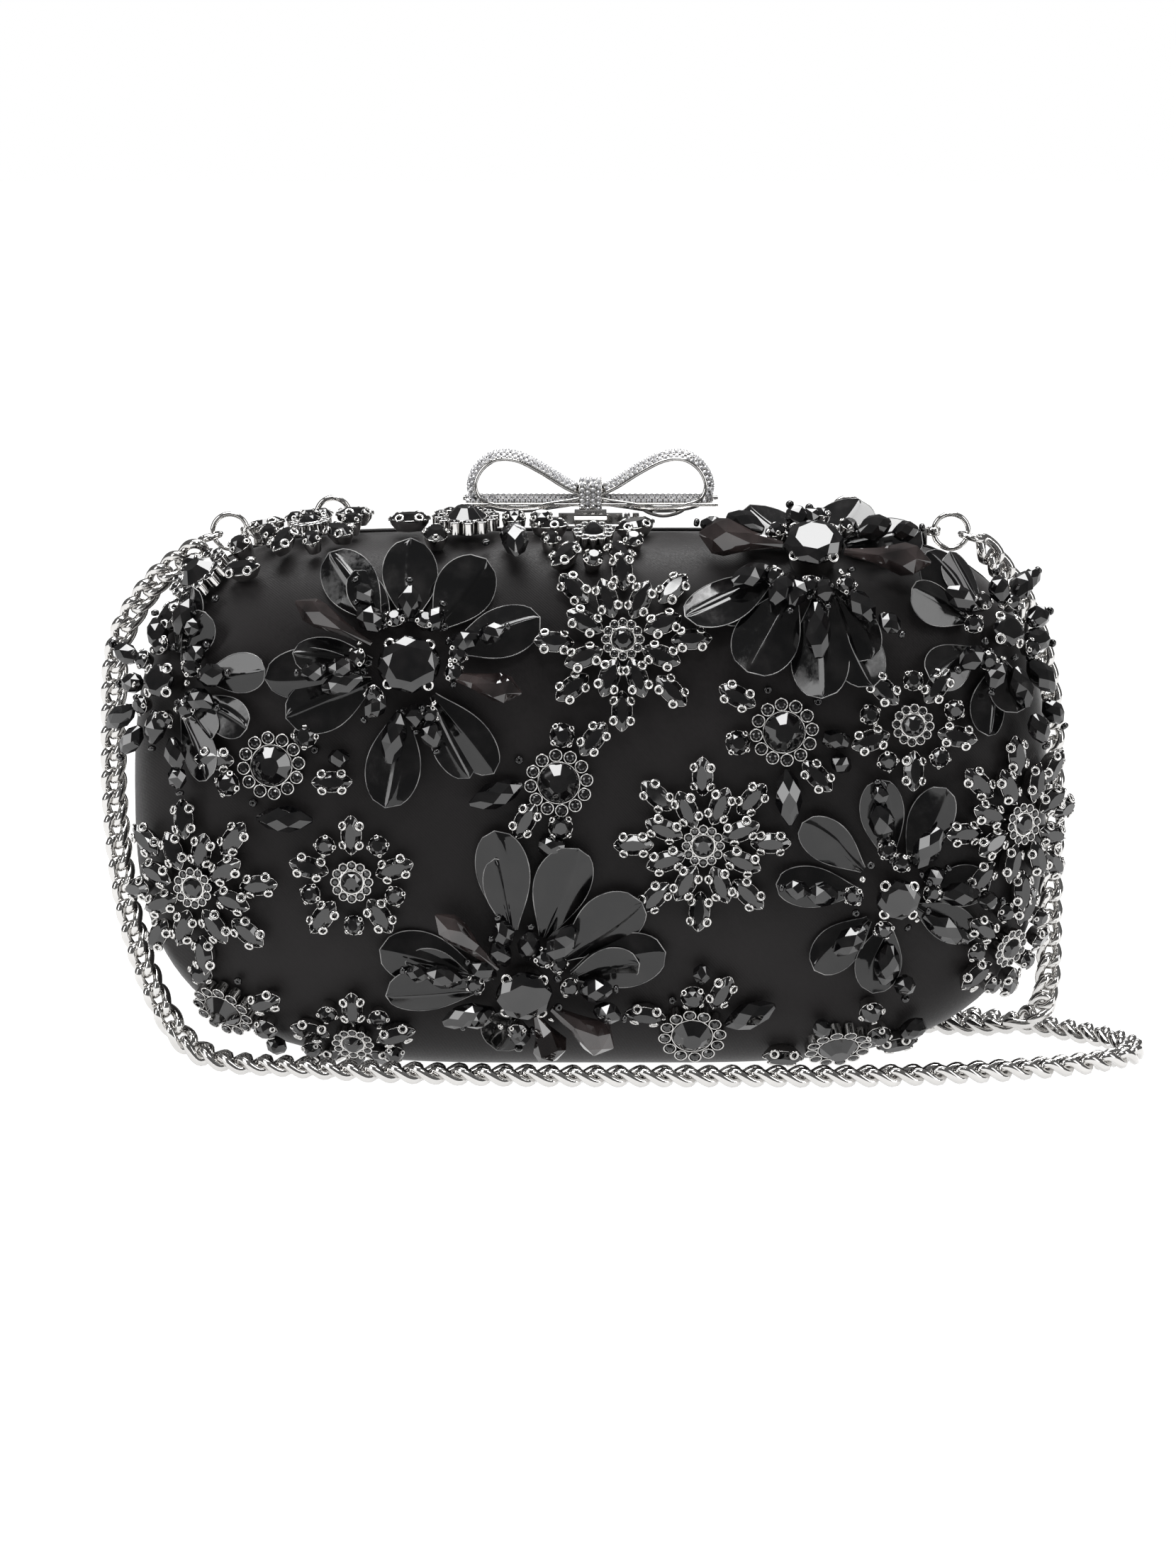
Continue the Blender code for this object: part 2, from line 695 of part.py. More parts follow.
def chain_route():
    """The chain's centre line: x, distance behind the parting plane and height, in millimetres."""
    floor = CHAIN_ON_FLOOR / MM + 0.02
    left = (
        (-87.2, -2.6, 111.6), (-91.6, -6.2, 104.4), (-98.6, -12.0, 91.5), (-101.4, -17.2, 72.0),
        (-100.8, -19.6, 52.0), (-97.3, -20.0, 31.5), (-91.0, -17.6, 13.5),
    )
    front = (
        (-85.0, -18.6, floor), (-71.0, -24.6, floor), (-47.0, -32.0, floor), (-12.0, -36.4, floor),
        (30.0, -36.9, floor), (66.0, -36.2, floor), (97.0, -28.6, floor), (115.0, -18.6, floor),
        (119.0, -7.0, floor), (112.6, 5.5, floor), (94.1, 20.6, floor), (72.0, 30.6, floor),
    )
    behind = (
        (35.0, 35.6, floor), (-10.0, 37.2, floor), (-40.0, 41.6, floor), (-57.0, 46.2, floor),
        (-68.6, 42.6, floor), (-70.0, 34.0, floor), (-60.0, 28.2, floor), (-20.0, 28.4, floor),
        (35.0, 27.0, floor), (68.0, 23.2, floor), (86.0, 15.9, floor), (97.0, 9.2, floor + 2.0),
    )
    right = (
        (101.9, 9.6, 11.0), (103.0, 14.2, 32.0), (103.5, 18.6, 56.0), (102.4, 17.6, 78.0),
        (96.6, 12.2, 98.0), (87.2, 4.0, 111.6),
    )
    points = left + front + behind + right
    return [Vector((x * MM, PARTING_Y + y * MM, z * MM)) for x, y, z in points]


def chain_strap(material):
    """The chain's plain round envelope along its route."""
    route = smooth_route(chain_route(), CHAIN_STEP)
    for place in route:
        place.z = max(place.z, CHAIN_ON_FLOOR)
    curve = bpy.data.curves.new("chain_strap", "CURVE")
    curve.dimensions = "3D"
    curve.render_resolution_u = 0
    curve.bevel_depth = CHAIN_DIAMETER / 2
    curve.bevel_resolution = 2
    curve.use_fill_caps = True
    spline = curve.splines.new("POLY")
    spline.points.add(len(route) - 1)
    for point, place in zip(spline.points, route):
        point.co = (*place, 1)
    curve.materials.append(material)
    obj = bpy.data.objects.new("chain_strap", curve)
    bpy.context.scene.collection.objects.link(obj)
    return obj


# The flowers


def flower(name, x, z, radius, height, material):
    """A plain low dome that follows the front's surface."""
    centre = front_point(x * MM, z * MM)
    normal = slope(centre).normalized()
    sideways = Vector((1, 0, 0))
    sideways = (sideways - normal * sideways.dot(normal)).normalized()
    upward = normal.cross(sideways)
    sides = 16 if radius > 12 else 12
    rings = max(2, math.ceil(radius * MM / FLOWER_STEP))
    places = [[centre]]
    for ring in range(1, rings + 1):
        reach = radius * MM * ring / rings
        places.append([
            walk(centre, sideways * math.cos(turn) + upward * math.sin(turn), reach)
            for turn in (2 * math.pi * i / sides for i in range(sides))
        ])
    vertices = []
    for top in (True, False):
        for ring, points in enumerate(places):
            rise = FLOWER_GAP
            if top:
                rise += (height * MM - FLOWER_GAP) * (1 - 0.55 * (ring / rings) ** 2)
            vertices += [point + slope(point).normalized() * rise for point in points]
    layer = 1 + rings * sides
    faces = []
    for base in (0, layer):
        faces += [(base, base + 1 + i, base + 1 + (i + 1) % sides) for i in range(sides)]
        for ring in range(rings - 1):
            here, after = base + 1 + ring * sides, base + 1 + (ring + 1) * sides
            for i in range(sides):
                j = (i + 1) % sides
                faces.append((here + i, after + i, after + j, here + j))
    rim = 1 + (rings - 1) * sides
    faces += [
        (rim + i, rim + (i + 1) % sides, layer + rim + (i + 1) % sides, layer + rim + i)
        for i in range(sides)
    ]
    for index, vertex in enumerate(vertices):
        vertices[index] = Vector((vertex.x, vertex.y, max(vertex.z, 0.0)))
    obj = add_mesh(name, vertices, faces, material)
    smooth(obj, 60)
    return obj


MATERIALS = {}


def build():
    """Every piece of the bag."""
    for obj in list(bpy.data.objects):
        bpy.data.objects.remove(obj, do_unlink=True)
    MATERIALS.update(
        satin=make_material("satin", SATIN_BLACK, 0.45),
        lining=make_material("lining", LINING_GREY, 0.6),
        board=make_material("board", BOARD_GREY, 0.7),
        silver=make_material("silver", SILVER, 0.12, 1.0),
        steel=make_material("steel", STEEL, 0.3, 1.0),
        jet=make_material("jet", JET, 0.08),
        crystal=make_material("crystal", CRYSTAL, 0.08),
    )
    for half, side in (("front", -1), ("rear", 1)):
        half_shell(f"{half}_cover", 0.0, COVER_THICKNESS, side, MATERIALS["satin"])
        half_shell(f"{half}_shell", SHELL_OFFSET, SHELL_THICKNESS, side, MATERIALS["board"])
        half_shell(f"{half}_lining", LINING_OFFSET, LINING_THICKNESS, side, MATERIALS["lining"])
        framed_half(f"{half}_frame", side, MATERIALS["silver"])
    hinge_pin(MATERIALS["steel"])
    slip_pocket(MATERIALS["lining"])
    clasp_base(MATERIALS["silver"])
    clasp_pin(MATERIALS["steel"])
    clasp_lever(MATERIALS["silver"])
    clasp_spring(MATERIALS["steel"])
    catch_block(MATERIALS["silver"])
    bow_ribbon(MATERIALS["crystal"])
    bow_knot(MATERIALS["crystal"])
    for name, side in (("left", -1), ("right", 1)):
        strap_lug(f"strap_lug_{name}", side, MATERIALS["silver"])
        strap_ring(f"strap_ring_{name}", side, MATERIALS["silver"])
        end_link(f"chain_end_{name}", side, MATERIALS["silver"])
        spare_loop(f"spare_loop_{name}", side, MATERIALS["silver"])
    chain_strap(MATERIALS["silver"])
    for group in (PETAL_FLOWERS, SNOWFLAKES, STARS, ROSETTES):
        for name, x, z, radius, height in group:
            flower(name, x, z, radius, height, MATERIALS["jet"])


build()
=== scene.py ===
"""Looks of the evening bag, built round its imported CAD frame.

X runs across the bag, Y from front to back and Z up; the bag stands on z = 0. Lengths are in metres.
The body's surface, the chain's route and the bow's path repeat the functions that shape the CAD.
"""

import math
import random

import bmesh
import bpy
from mathutils import Matrix, Vector, noise


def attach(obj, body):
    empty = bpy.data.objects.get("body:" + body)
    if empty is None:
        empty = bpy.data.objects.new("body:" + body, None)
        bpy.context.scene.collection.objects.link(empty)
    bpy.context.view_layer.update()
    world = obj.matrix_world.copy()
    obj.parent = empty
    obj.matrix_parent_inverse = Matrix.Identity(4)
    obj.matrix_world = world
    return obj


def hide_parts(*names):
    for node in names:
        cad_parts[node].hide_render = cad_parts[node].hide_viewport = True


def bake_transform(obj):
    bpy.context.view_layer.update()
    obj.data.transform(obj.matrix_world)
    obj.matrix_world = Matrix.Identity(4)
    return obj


MM = 0.001
TURN = 2 * math.pi
UP = Vector((0, 0, 1))
BACK = Vector((0, 1, 0))
RIGHT = Vector((1, 0, 0))
GAP = 0.3 * MM

# Body
BODY_HALF_WIDTH = 100 * MM
BODY_TOP = 116.7 * MM
BASE_CLIP = 1.0 * MM
BODY_HALF_HEIGHT = (BODY_TOP + BASE_CLIP) / 2
BODY_CENTRE_Z = (BODY_TOP - BASE_CLIP) / 2
BODY_HALF_DEPTH = 30 * MM
CROWN_POWER = 6.0
BASE_POWER = 4.0
HEIGHT_POWER = 2.7
SIDE_POWER = 5.0
DEPTH_POWER = 3.0
PARTING_Y = 5.0 * MM
COVER_THICKNESS = 0.5 * MM
SHELL_OFFSET = -(COVER_THICKNESS + GAP)
SHELL_THICKNESS = 1.6 * MM
LINING_OFFSET = SHELL_OFFSET - SHELL_THICKNESS - GAP
LINING_THICKNESS = 0.5 * MM
RIM = 3.05 * MM
FRONT, REAR = -1, 1

# Frames and hinge
FRAME_OFFSET = -0.6 * MM
FRAME_HEIGHT = 2.6 * MM
FRAME_NEAR = GAP / 2
FRAME_FAR = 2.75 * MM
HINGE_Z = 1.8 * MM
KNUCKLE_RADIUS = 1.5 * MM
KNUCKLE_LENGTH = 12.8 * MM
KNUCKLE_COUNT = 5
PIN_HOLE_RADIUS = 0.9 * MM

# Bow
BOW_Y = PARTING_Y + 0.3 * MM
BOW_HALF_DEPTH = 2.25 * MM
BOW_THICKNESS = 1.7 * MM
BOW_BOTTOM_Z = 121.2 * MM
TAIL_HALF_LENGTH = 27.8 * MM
TAIL_Z = 123.0 * MM
TAIL_THICKNESS = 2.2 * MM
KNOT_HALF_WIDTH = 2.5 * MM
KNOT_HEIGHT = 6.4 * MM

# Strap hardware
RING_RADIUS = 3.8 * MM
RING_WIRE = 0.6 * MM
RING_Y = PARTING_Y + 1.45 * MM
RING_X = 78.9 * MM
RING_RISE = 5.2 * MM
LUG_HOLE_RADIUS = 0.95 * MM
LUG_RADIUS = 1.55 * MM
LUG_HEIGHT = 1.8 * MM
SPARE_LOOP_X = 56.3 * MM
SPARE_LOOP_RADIUS = 3.5 * MM
SPARE_LOOP_WIRE = 0.55 * MM
LINK_RADIUS = 2.3 * MM
LINK_WIRE = 0.7 * MM
LINK_OFFSET = 0.7 * MM

# Chain
CHAIN_TUBE = 5.5 * MM
CURB_WIDTH = 6.0 * MM
CURB_WIRE = 1.1 * MM
CURB_LENGTH = 8.8 * MM
CURB_PITCH = 4.9 * MM
CURB_LIFT = 1.15 * MM  # how far a link's wire weaves out of its plane
STRAND_FADE = 12 * MM  # how far above the floor the links still lie as they do on it

# Finishes
SILVER_TONE = 0.66
WIRE_SHARE = 0.94  # a strap ring's visible wire, in shares of the CAD's, which leaves it room to swivel
SHARP_METAL = math.radians(32)
SHARP_BOW = math.radians(40)

# Layers of a half
SKIN_ROUND = 220  # points round the outline
SKIN_CLIMB = 44  # rows from the rim's bend to the middle
RIM_BEND = math.radians(12.2)
FRAME_ROUND = 260

# Stitches and stones
PAVE_PITCH = 1.2 * MM
PAVE_RADIUS = 0.55 * MM
PETAL_THICKNESS = 0.32 * MM
PETAL_WIDEST = 0.60  # where along its length a petal is widest

# Camera
CAMERA_TARGET = Vector((-0.55 * MM, PARTING_Y, 60.4 * MM))
CAMERA_ELEVATION = math.radians(9)
CAMERA_LENS = 110
CAMERA_DISTANCE = 1.056

# The floor's left, right, near and far edges: a table that ends in front of the bag
FLOOR_EDGES = (-6.0, 6.0, -0.42, 6.0)

# How bright the studio's ceiling is at each height, from the horizon at 0 to overhead at 1
CEILING = ((0.0, 0.15), (0.3, 0.12), (0.85, 0.18), (1.0, 0.30))


# Materials


class Nodes:
    """Short calls for building one material's node tree."""

    def __init__(self, name):
        self.material = bpy.data.materials.new(name)
        self.material.use_nodes = True
        self.tree = self.material.node_tree
        self.shader = self.tree.nodes["Principled BSDF"]

    def set(self, **values):
        """Constant values on the shader's own sockets."""
        for name, value in values.items():
            self.shader.inputs[name.replace("_", " ").title().replace("Ior", "IOR")].default_value = value

    def node(self, kind, **settings):
        made = self.tree.nodes.new(kind)
        for name, value in settings.items():
            if name in made.inputs:
                made.inputs[name].default_value = value
            else:
                setattr(made, name, value)
        return made

    def link(self, start, end):
        self.tree.links.new(start, end)

    def place(self, scale, stretch=(1, 1, 1), turn=(0, 0, 0)):
        """Object coordinates, scaled."""
        coordinates = self.node("ShaderNodeTexCoord")
        mapping = self.node("ShaderNodeMapping")
        mapping.inputs["Scale"].default_value = [scale * part for part in stretch]
        mapping.inputs["Rotation"].default_value = turn
        self.link(coordinates.outputs["Object"], mapping.inputs["Vector"])
        return mapping.outputs["Vector"]

    def noise(self, scale, detail=2.0, stretch=(1, 1, 1), turn=(0, 0, 0)):
        made = self.node("ShaderNodeTexNoise", Detail=detail)
        made.inputs["Scale"].default_value = 1.0
        self.link(self.place(scale, stretch, turn), made.inputs["Vector"])
        return made.outputs["Fac"]

    def ramp(self, factor, stops):
        made = self.node("ShaderNodeValToRGB")
        points = made.color_ramp.elements
        while len(points) < len(stops):
            points.new(0.5)
        for point, (place, colour) in zip(points, stops):
            point.position = place
            point.color = (*colour, 1.0) if isinstance(colour, tuple) else (colour, colour, colour, 1.0)
        self.link(factor, made.inputs["Fac"])
        return made.outputs["Color"]

    def roughness(self, factor, low, high, start=0.3, end=0.7):
        made = self.node("ShaderNodeMapRange")
        for name, value in (("From Min", start), ("From Max", end), ("To Min", low), ("To Max", high)):
            made.inputs[name].default_value = value
        self.link(factor, made.inputs["Value"])
        self.link(made.outputs["Result"], self.shader.inputs["Roughness"])

    def colour(self, factor, stops):
        self.link(self.ramp(factor, stops), self.shader.inputs["Base Color"])

    def bump(self, height, strength, distance):
        made = self.node("ShaderNodeBump")
        made.inputs["Strength"].default_value = strength
        made.inputs["Distance"].default_value = distance
        self.link(height, made.inputs["Height"])
        self.link(made.outputs["Normal"], self.shader.inputs["Normal"])

    def mix(self, first, second, share=0.5):
        made = self.node("ShaderNodeMath", operation="MULTIPLY_ADD")
        made.inputs[1].default_value = share
        self.link(first, made.inputs[0])
        self.link(second, made.inputs[2])
        return made.outputs["Value"]


def satin():
    """Black satin: a fine diagonal twill with a soft sheen and a little slub."""
    m = Nodes("black_satin")
    m.set(sheen_weight=0.16, sheen_roughness=0.4, specular_ior_level=0.20)
    twill = m.node("ShaderNodeTexWave", bands_direction="DIAGONAL")
    twill.inputs["Scale"].default_value = 1.0
    twill.inputs["Distortion"].default_value = 1.2
    m.link(m.place(900, (1, 0.5, 1)), twill.inputs["Vector"])
    grain = m.noise(2600, 3.0, (1, 1, 0.45))
    cloud = m.noise(28, 3.0)
    m.colour(m.mix(grain, cloud, 0.55), ((0.45, (0.0056, 0.0048, 0.0050)), (1.05, (0.0120, 0.0104, 0.0108))))
    m.roughness(grain, 0.44, 0.6)
    m.bump(m.mix(twill.outputs["Fac"], grain, 0.5), 0.35, 0.00006)
    return m.material


def lining():
    """Dark grey satin of the inside, with softly crushed tone."""
    m = Nodes("lining_satin")
    m.set(sheen_weight=0.4, sheen_roughness=0.3)
    grain = m.noise(1900, 2.0, (0.4, 1, 1))
    cloud = m.noise(60, 3.0)
    m.colour(m.mix(grain, cloud, 0.5), ((0.4, (0.060, 0.060, 0.064)), (1.1, (0.145, 0.145, 0.155))))
    m.roughness(cloud, 0.38, 0.55)
    m.bump(grain, 0.3, 0.0001)
    return m.material


def board():
    """The moulded stiff shell under the satin."""
    m = Nodes("moulded_board")
    m.set(specular_ior_level=0.3)
    fibre = m.noise(700, 4.0, (1, 0.3, 1))
    m.colour(fibre, ((0.3, (0.22, 0.215, 0.205)), (0.7, (0.40, 0.39, 0.375))))
    m.roughness(fibre, 0.6, 0.8)
    m.bump(fibre, 0.3, 0.0001)
    return m.material


def silver():
    """Polished plate with faint wear and hairlines."""
    m = Nodes("polished_silver")
    m.set(metallic=1.0)
    wear = m.noise(210, 4.0)
    hair = m.noise(900, 2.0, (1, 0.08, 1))
    bright = SILVER_TONE
    worn = (bright * 0.90, bright * 0.885, bright * 0.865)
    m.colour(wear, ((0.25, worn), (0.75, (bright, bright * 0.985, bright * 0.965))))
    m.roughness(m.mix(hair, wear, 0.5), 0.05, 0.14, 0.45, 1.05)
    m.bump(hair, 0.05, 0.00002)
    return m.material


def steel():
    """Plain drawn wire."""
    m = Nodes("drawn_steel")
    m.set(metallic=1.0)
    drawn = m.noise(1200, 3.0, (0.05, 1, 1))
    m.colour(drawn, ((0.3, (0.45, 0.45, 0.46)), (0.7, (0.62, 0.62, 0.64))))
    m.roughness(drawn, 0.22, 0.36)
    m.bump(drawn, 0.1, 0.00003)
    return m.material


def jet():
    """Cut black glass."""
    m = Nodes("jet_glass")
    m.set(ior=1.72)
    tone = m.noise(320, 1.0)
    m.colour(tone, ((0.35, (0.0020, 0.0020, 0.0024)), (0.75, (0.0075, 0.0068, 0.0070))))
    m.roughness(tone, 0.015, 0.06)
    return m.material


def sequin():
    """Glossy black petals, with fine scratches and scuffs."""
    m = Nodes("sequin_black")
    m.set(ior=1.52)
    scuff = m.noise(180, 5.0)
    line = m.noise(1300, 3.0, (1, 0.06, 1), (0.4, 0.3, 0.7))
    m.colour(scuff, ((0.45, (0.0030, 0.0030, 0.0033)), (0.85, (0.014, 0.013, 0.013))))
    m.roughness(m.mix(line, scuff, 0.5), 0.03, 0.16, 0.62, 0.95)
    m.bump(line, 0.05, 0.00003)
    return m.material


def petal_rim_painted_highlight():
    """The cut edge of a petal, given a light grey base colour as a painted highlight along its rim."""
    m = Nodes("petal_rim_painted_highlight")
    m.set(ior=1.5, specular_ior_level=0.9)
    tone = m.noise(240, 2.0)
    # painted highlight: the rim's base colour runs from dark to light grey, far brighter than the black petal
    m.colour(tone, ((0.35, (0.05, 0.05, 0.052)), (0.7, (0.34, 0.335, 0.33))))
    m.roughness(tone, 0.12, 0.3)
    return m.material


def smoke():
    """Smoky brown cut glass."""
    m = Nodes("smoke_glass")
    m.set(ior=1.80)
    tone = m.noise(130, 2.0)
    m.colour(tone, ((0.35, (0.008, 0.006, 0.006)), (0.7, (0.045, 0.034, 0.033))))
    m.roughness(tone, 0.02, 0.05)
    return m.material


def crystal():
    """Small clear stones with foiled backs; their flashes of light and dark are painted glints and painted
    shade in the base colour.
    """
    m = Nodes("foiled_crystal")
    m.set(metallic=0.55, ior=1.6)
    painted_glints = m.noise(1500, 1.0)
    # painted glints and painted shade: the base colour runs at random from mid to light grey
    m.colour(painted_glints, ((0.35, (0.38, 0.38, 0.40)), (0.6, (0.82, 0.82, 0.83))))
    m.roughness(painted_glints, 0.04, 0.16)
    return m.material


def floor_material():
    """The plain pale floor."""
    m = Nodes("studio_floor")
    m.set(roughness=0.9, specular_ior_level=0.1, emission_color=(1, 1, 1, 1), emission_strength=0.99)
    tone = m.noise(3, 2.0)
    m.colour(tone, ((0.3, (0.23, 0.23, 0.23)), (0.7, (0.25, 0.25, 0.25))))
    return m.material


# Meshes in the making


class Shape:
    """Points, faces, and each face's finish and shading."""

    def __init__(self):
        self.points = []
        self.faces = []
        self.finishes = []
        self.rounded = []

    def add(self, points, faces, finish, rounded=True):
        base = len(self.points)
        self.points += [Vector(point) for point in points]
        self.faces += [tuple(base + index for index in face) for face in faces]
        self.finishes += [finish] * len(faces)
        self.rounded += [rounded] * len(faces)
        return self

    def put(self, other, matrix=None, floor=None):
        """Add a copy of another shape, moved, and lifted clear of a floor where one is given."""
        matrix = matrix or Matrix.Identity(4)
        placed = [matrix @ point for point in other.points]
        if floor is not None:
            sunk = floor - min(point.z for point in placed)
            if sunk > 0:
                placed = [Vector((point.x, point.y, point.z + sunk)) for point in placed]
        base = len(self.points)
        self.points += placed
        self.faces += [tuple(base + index for index in face) for face in other.faces]
        self.finishes += other.finishes
        self.rounded += other.rounded
        return self

    def make(self, name):
        """The finished object."""
        mesh = bpy.data.meshes.new(name)
        mesh.from_pydata([tuple(point) for point in self.points], [], self.faces)
        order = sorted(set(self.finishes))
        for finish in order:
            mesh.materials.append(FINISHES[finish])
        mesh.polygons.foreach_set("material_index", [order.index(finish) for finish in self.finishes])
        mesh.polygons.foreach_set("use_smooth", self.rounded)
        mesh.update()
        obj = bpy.data.objects.new(name, mesh)
        bpy.context.scene.collection.objects.link(obj)
        return obj


def basis(x_axis, z_axis, origin):
    """A placing matrix from an X direction, a rough Z direction and an origin."""
    x_axis = x_axis.normalized()
    y_axis = z_axis.cross(x_axis).normalized()
    z_axis = x_axis.cross(y_axis)
    matrix = Matrix((x_axis, y_axis, z_axis)).transposed().to_4x4()
    matrix.translation = origin
    return matrix


def spun(degrees, axis="Z"):
    return Matrix.Rotation(math.radians(degrees), 4, axis)


def moved(x=0.0, y=0.0, z=0.0):
    return Matrix.Translation((x, y, z))


def band(rows, closed_rows=False, around=True):
    """Faces between rows of equally many points."""
    size = len(rows[0])
    points = [point for row in rows for point in row]
    faces = []
    for i in range(len(rows) if closed_rows else len(rows) - 1):
        here, after = i * size, (i + 1) % len(rows) * size
        for j in range(size if around else size - 1):
            k = (j + 1) % size
            faces.append((here + j, here + k, after + k, after + j))
    return points, faces


def caps(size, rows):
    """The two end faces of a band whose rows have this many points."""
    last = (rows - 1) * size
    return [tuple(reversed(range(size))), tuple(range(last, last + size))]


def rim(rows):
    """The points round the edge of a grid."""
    return [row[0] for row in rows] + rows[-1][1:-1] + [row[-1] for row in reversed(rows)] + rows[0][-2:0:-1]


def circle(radius, count=20):
    return [(radius * math.cos(TURN * j / count), radius * math.sin(TURN * j / count)) for j in range(count)]


def torus(radius, wire, around=16, sides=6, flat=1.0, start=0.0, share=1.0):
    """A wire ring about Z, or the share of one that starts at an angle."""
    rows = []
    steps = around if share == 1.0 else around + 1
    for i in range(steps):
        angle = start + TURN * share * i / around
        row = []
        for j in range(sides):
            bend = TURN * j / sides
            reach = radius + wire * math.cos(bend)
            row.append((reach * math.cos(angle), reach * math.sin(angle), flat * wire * math.sin(bend)))
        rows.append(row)
    points, faces = band(rows, share == 1.0)
    if share != 1.0:
        faces += caps(sides, steps)
    return points, faces


def ball(radius, around=10, rows=6):
    """A small round ball."""
    rings = [[(0, 0, -radius)] * around]
    for i in range(1, rows):
        tilt = math.pi * i / rows
        rings.append([(x, y, -radius * math.cos(tilt)) for x, y in circle(radius * math.sin(tilt), around)])
    rings.append([(0, 0, radius)] * around)
    return merged(*band(rings))


def merged(points, faces):
    """Join points that lie in one place, and drop the faces that this flattens."""
    seen, index = {}, []
    kept = []
    for point in points:
        key = tuple(round(part * 1e8) for part in point)
        if key not in seen:
            seen[key] = len(kept)
            kept.append(point)
        index.append(seen[key])
    clean = []
    for face in faces:
        corners = []
        for corner in face:
            if index[corner] not in corners:
                corners.append(index[corner])
        if len(corners) > 2:
            clean.append(tuple(corners))
    return kept, clean


def sweep(path, profile, normals, closed=False):
    """A profile of (across, up) pairs carried along a path, with its up along the normals."""
    rows = []
    count = len(path)
    for i, point in enumerate(path):
        before = path[i - 1] if closed or i else path[0]
        after = path[(i + 1) % count] if closed or i < count - 1 else path[-1]
        along = (after - before).normalized()
        up = (normals[i] - along * normals[i].dot(along)).normalized()
        side = along.cross(up)
        rows.append([point + side * x + up * y for x, y in profile])
    points, faces = band(rows, closed)
    if not closed:
        faces += caps(len(profile), count)
    return points, faces


def rounded_profile(width, height, radius, steps=3):
    """The outline of a rectangle with rounded corners."""
    points = []
    for x, y, start in ((1, 1, 0), (-1, 1, 90), (-1, -1, 180), (1, -1, 270)):
        for i in range(steps + 1):
            angle = math.radians(start + 90 * i / steps)
            points.append((
                x * (width / 2 - radius) + radius * math.cos(angle),
                y * (height / 2 - radius) + radius * math.sin(angle),
            ))
    return points


# The body's surface


OUTLINE = {}


def outline_point(angle):
    """Where the body's outline, scaled to a half-width and half-height of 1, is met at an angle."""
    if angle in OUTLINE:
        return OUTLINE[angle]
    across, up = math.cos(angle), math.sin(angle)
    power = CROWN_POWER if up >= 0 else BASE_POWER
    low, high = 0.5, 1.5
    for _ in range(40):
        reach = (low + high) / 2
        if abs(reach * across) ** power + abs(reach * up) ** HEIGHT_POWER < 1:
            low = reach
        else:
            high = reach
    OUTLINE[angle] = low * across, low * up
    return OUTLINE[angle]


def dome_power(angle):
    """How square the dome is on its way from the rim to the middle, at an angle of the outline."""
    return HEIGHT_POWER + (SIDE_POWER - HEIGHT_POWER) * math.cos(angle) ** 2


def body_point(angle, climb, offset, side):
    """A point of a half's surface: climb runs from 0 at the parting plane to pi / 2 at the middle."""
    across, up = outline_point(angle)
    spread = max(math.cos(climb), 0.0) ** (2 / dome_power(angle))
    depth = math.sin(climb) ** (2 / DEPTH_POWER)
    x = (BODY_HALF_WIDTH + offset) * across * spread
    z = BODY_CENTRE_Z + (BODY_HALF_HEIGHT + offset) * up * spread
    y = PARTING_Y + side * (BODY_HALF_DEPTH + offset) * depth
    return Vector((x, y, max(z, -offset)))


def fullness(point, offset=0.0):
    """Below 0 inside the body and above 0 outside it."""
    across = point.x / (BODY_HALF_WIDTH + offset)
    up = (point.z - BODY_CENTRE_Z) / (BODY_HALF_HEIGHT + offset)
    angle = math.atan2(up, across)
    power = CROWN_POWER if up >= 0 else BASE_POWER
    # The outline's own distance at this angle, by Newton's steps
    cosine, sine = abs(math.cos(angle)), abs(math.sin(angle))
    reach = 1.0
    for _ in range(5):
        value = (reach * cosine) ** power + (reach * sine) ** HEIGHT_POWER - 1
        rate = (power * (reach * cosine) ** power + HEIGHT_POWER * (reach * sine) ** HEIGHT_POWER) / reach
        reach -= value / rate
    spread = math.hypot(across, up) / reach
    depth = abs(point.y - PARTING_Y) / (BODY_HALF_DEPTH + offset)
    return spread ** dome_power(angle) + depth**DEPTH_POWER - 1


def slope(point):
    """The gradient of fullness."""
    step = 0.02 * MM
    parts = []
    for axis in range(3):
        ahead, behind = point.copy(), point.copy()
        ahead[axis] += step
        behind[axis] -= step
        parts.append((fullness(ahead) - fullness(behind)) / (2 * step))
    return Vector(parts)


def settle(point):
    """The point of the body's surface that a nearby point falls on."""
    for _ in range(4):
        gradient = slope(point)
        point = point - gradient * (fullness(point) / gradient.length_squared)
    return point


def surface_y(x, z, side, offset=0.0):
    """The Y of a half's surface at this x and z."""
    near, far = 0.0, BODY_HALF_DEPTH
    for _ in range(30):
        depth = (near + far) / 2
        if fullness(Vector((x, PARTING_Y + side * depth, z)), offset) < 0:
            near = depth
        else:
            far = depth
    return PARTING_Y + side * near


FLOWER_EDGE = -3.6 * MM


def walk(start, heading, distance, step=3 * MM):
    """Follow the front surface from a point, and stop short of the parting plane."""
    point = start.copy()
    travelled = 0.0
    while travelled < distance - 1e-7:
        stride = min(step, distance - travelled)
        normal = slope(point).normalized()
        heading = (heading - normal * heading.dot(normal)).normalized()
        ahead = settle(point + heading * stride)
        if ahead.y - PARTING_Y > FLOWER_EDGE:
            break
        point = ahead
        travelled += stride
    return point


def outline_angles(count):
    """Angles round the outline, closer together at its corners."""
    even = [TURN * i / count for i in range(count)]
    return [angle - 0.13 * math.sin(4 * angle) for angle in even]


# Camera, lights and floor


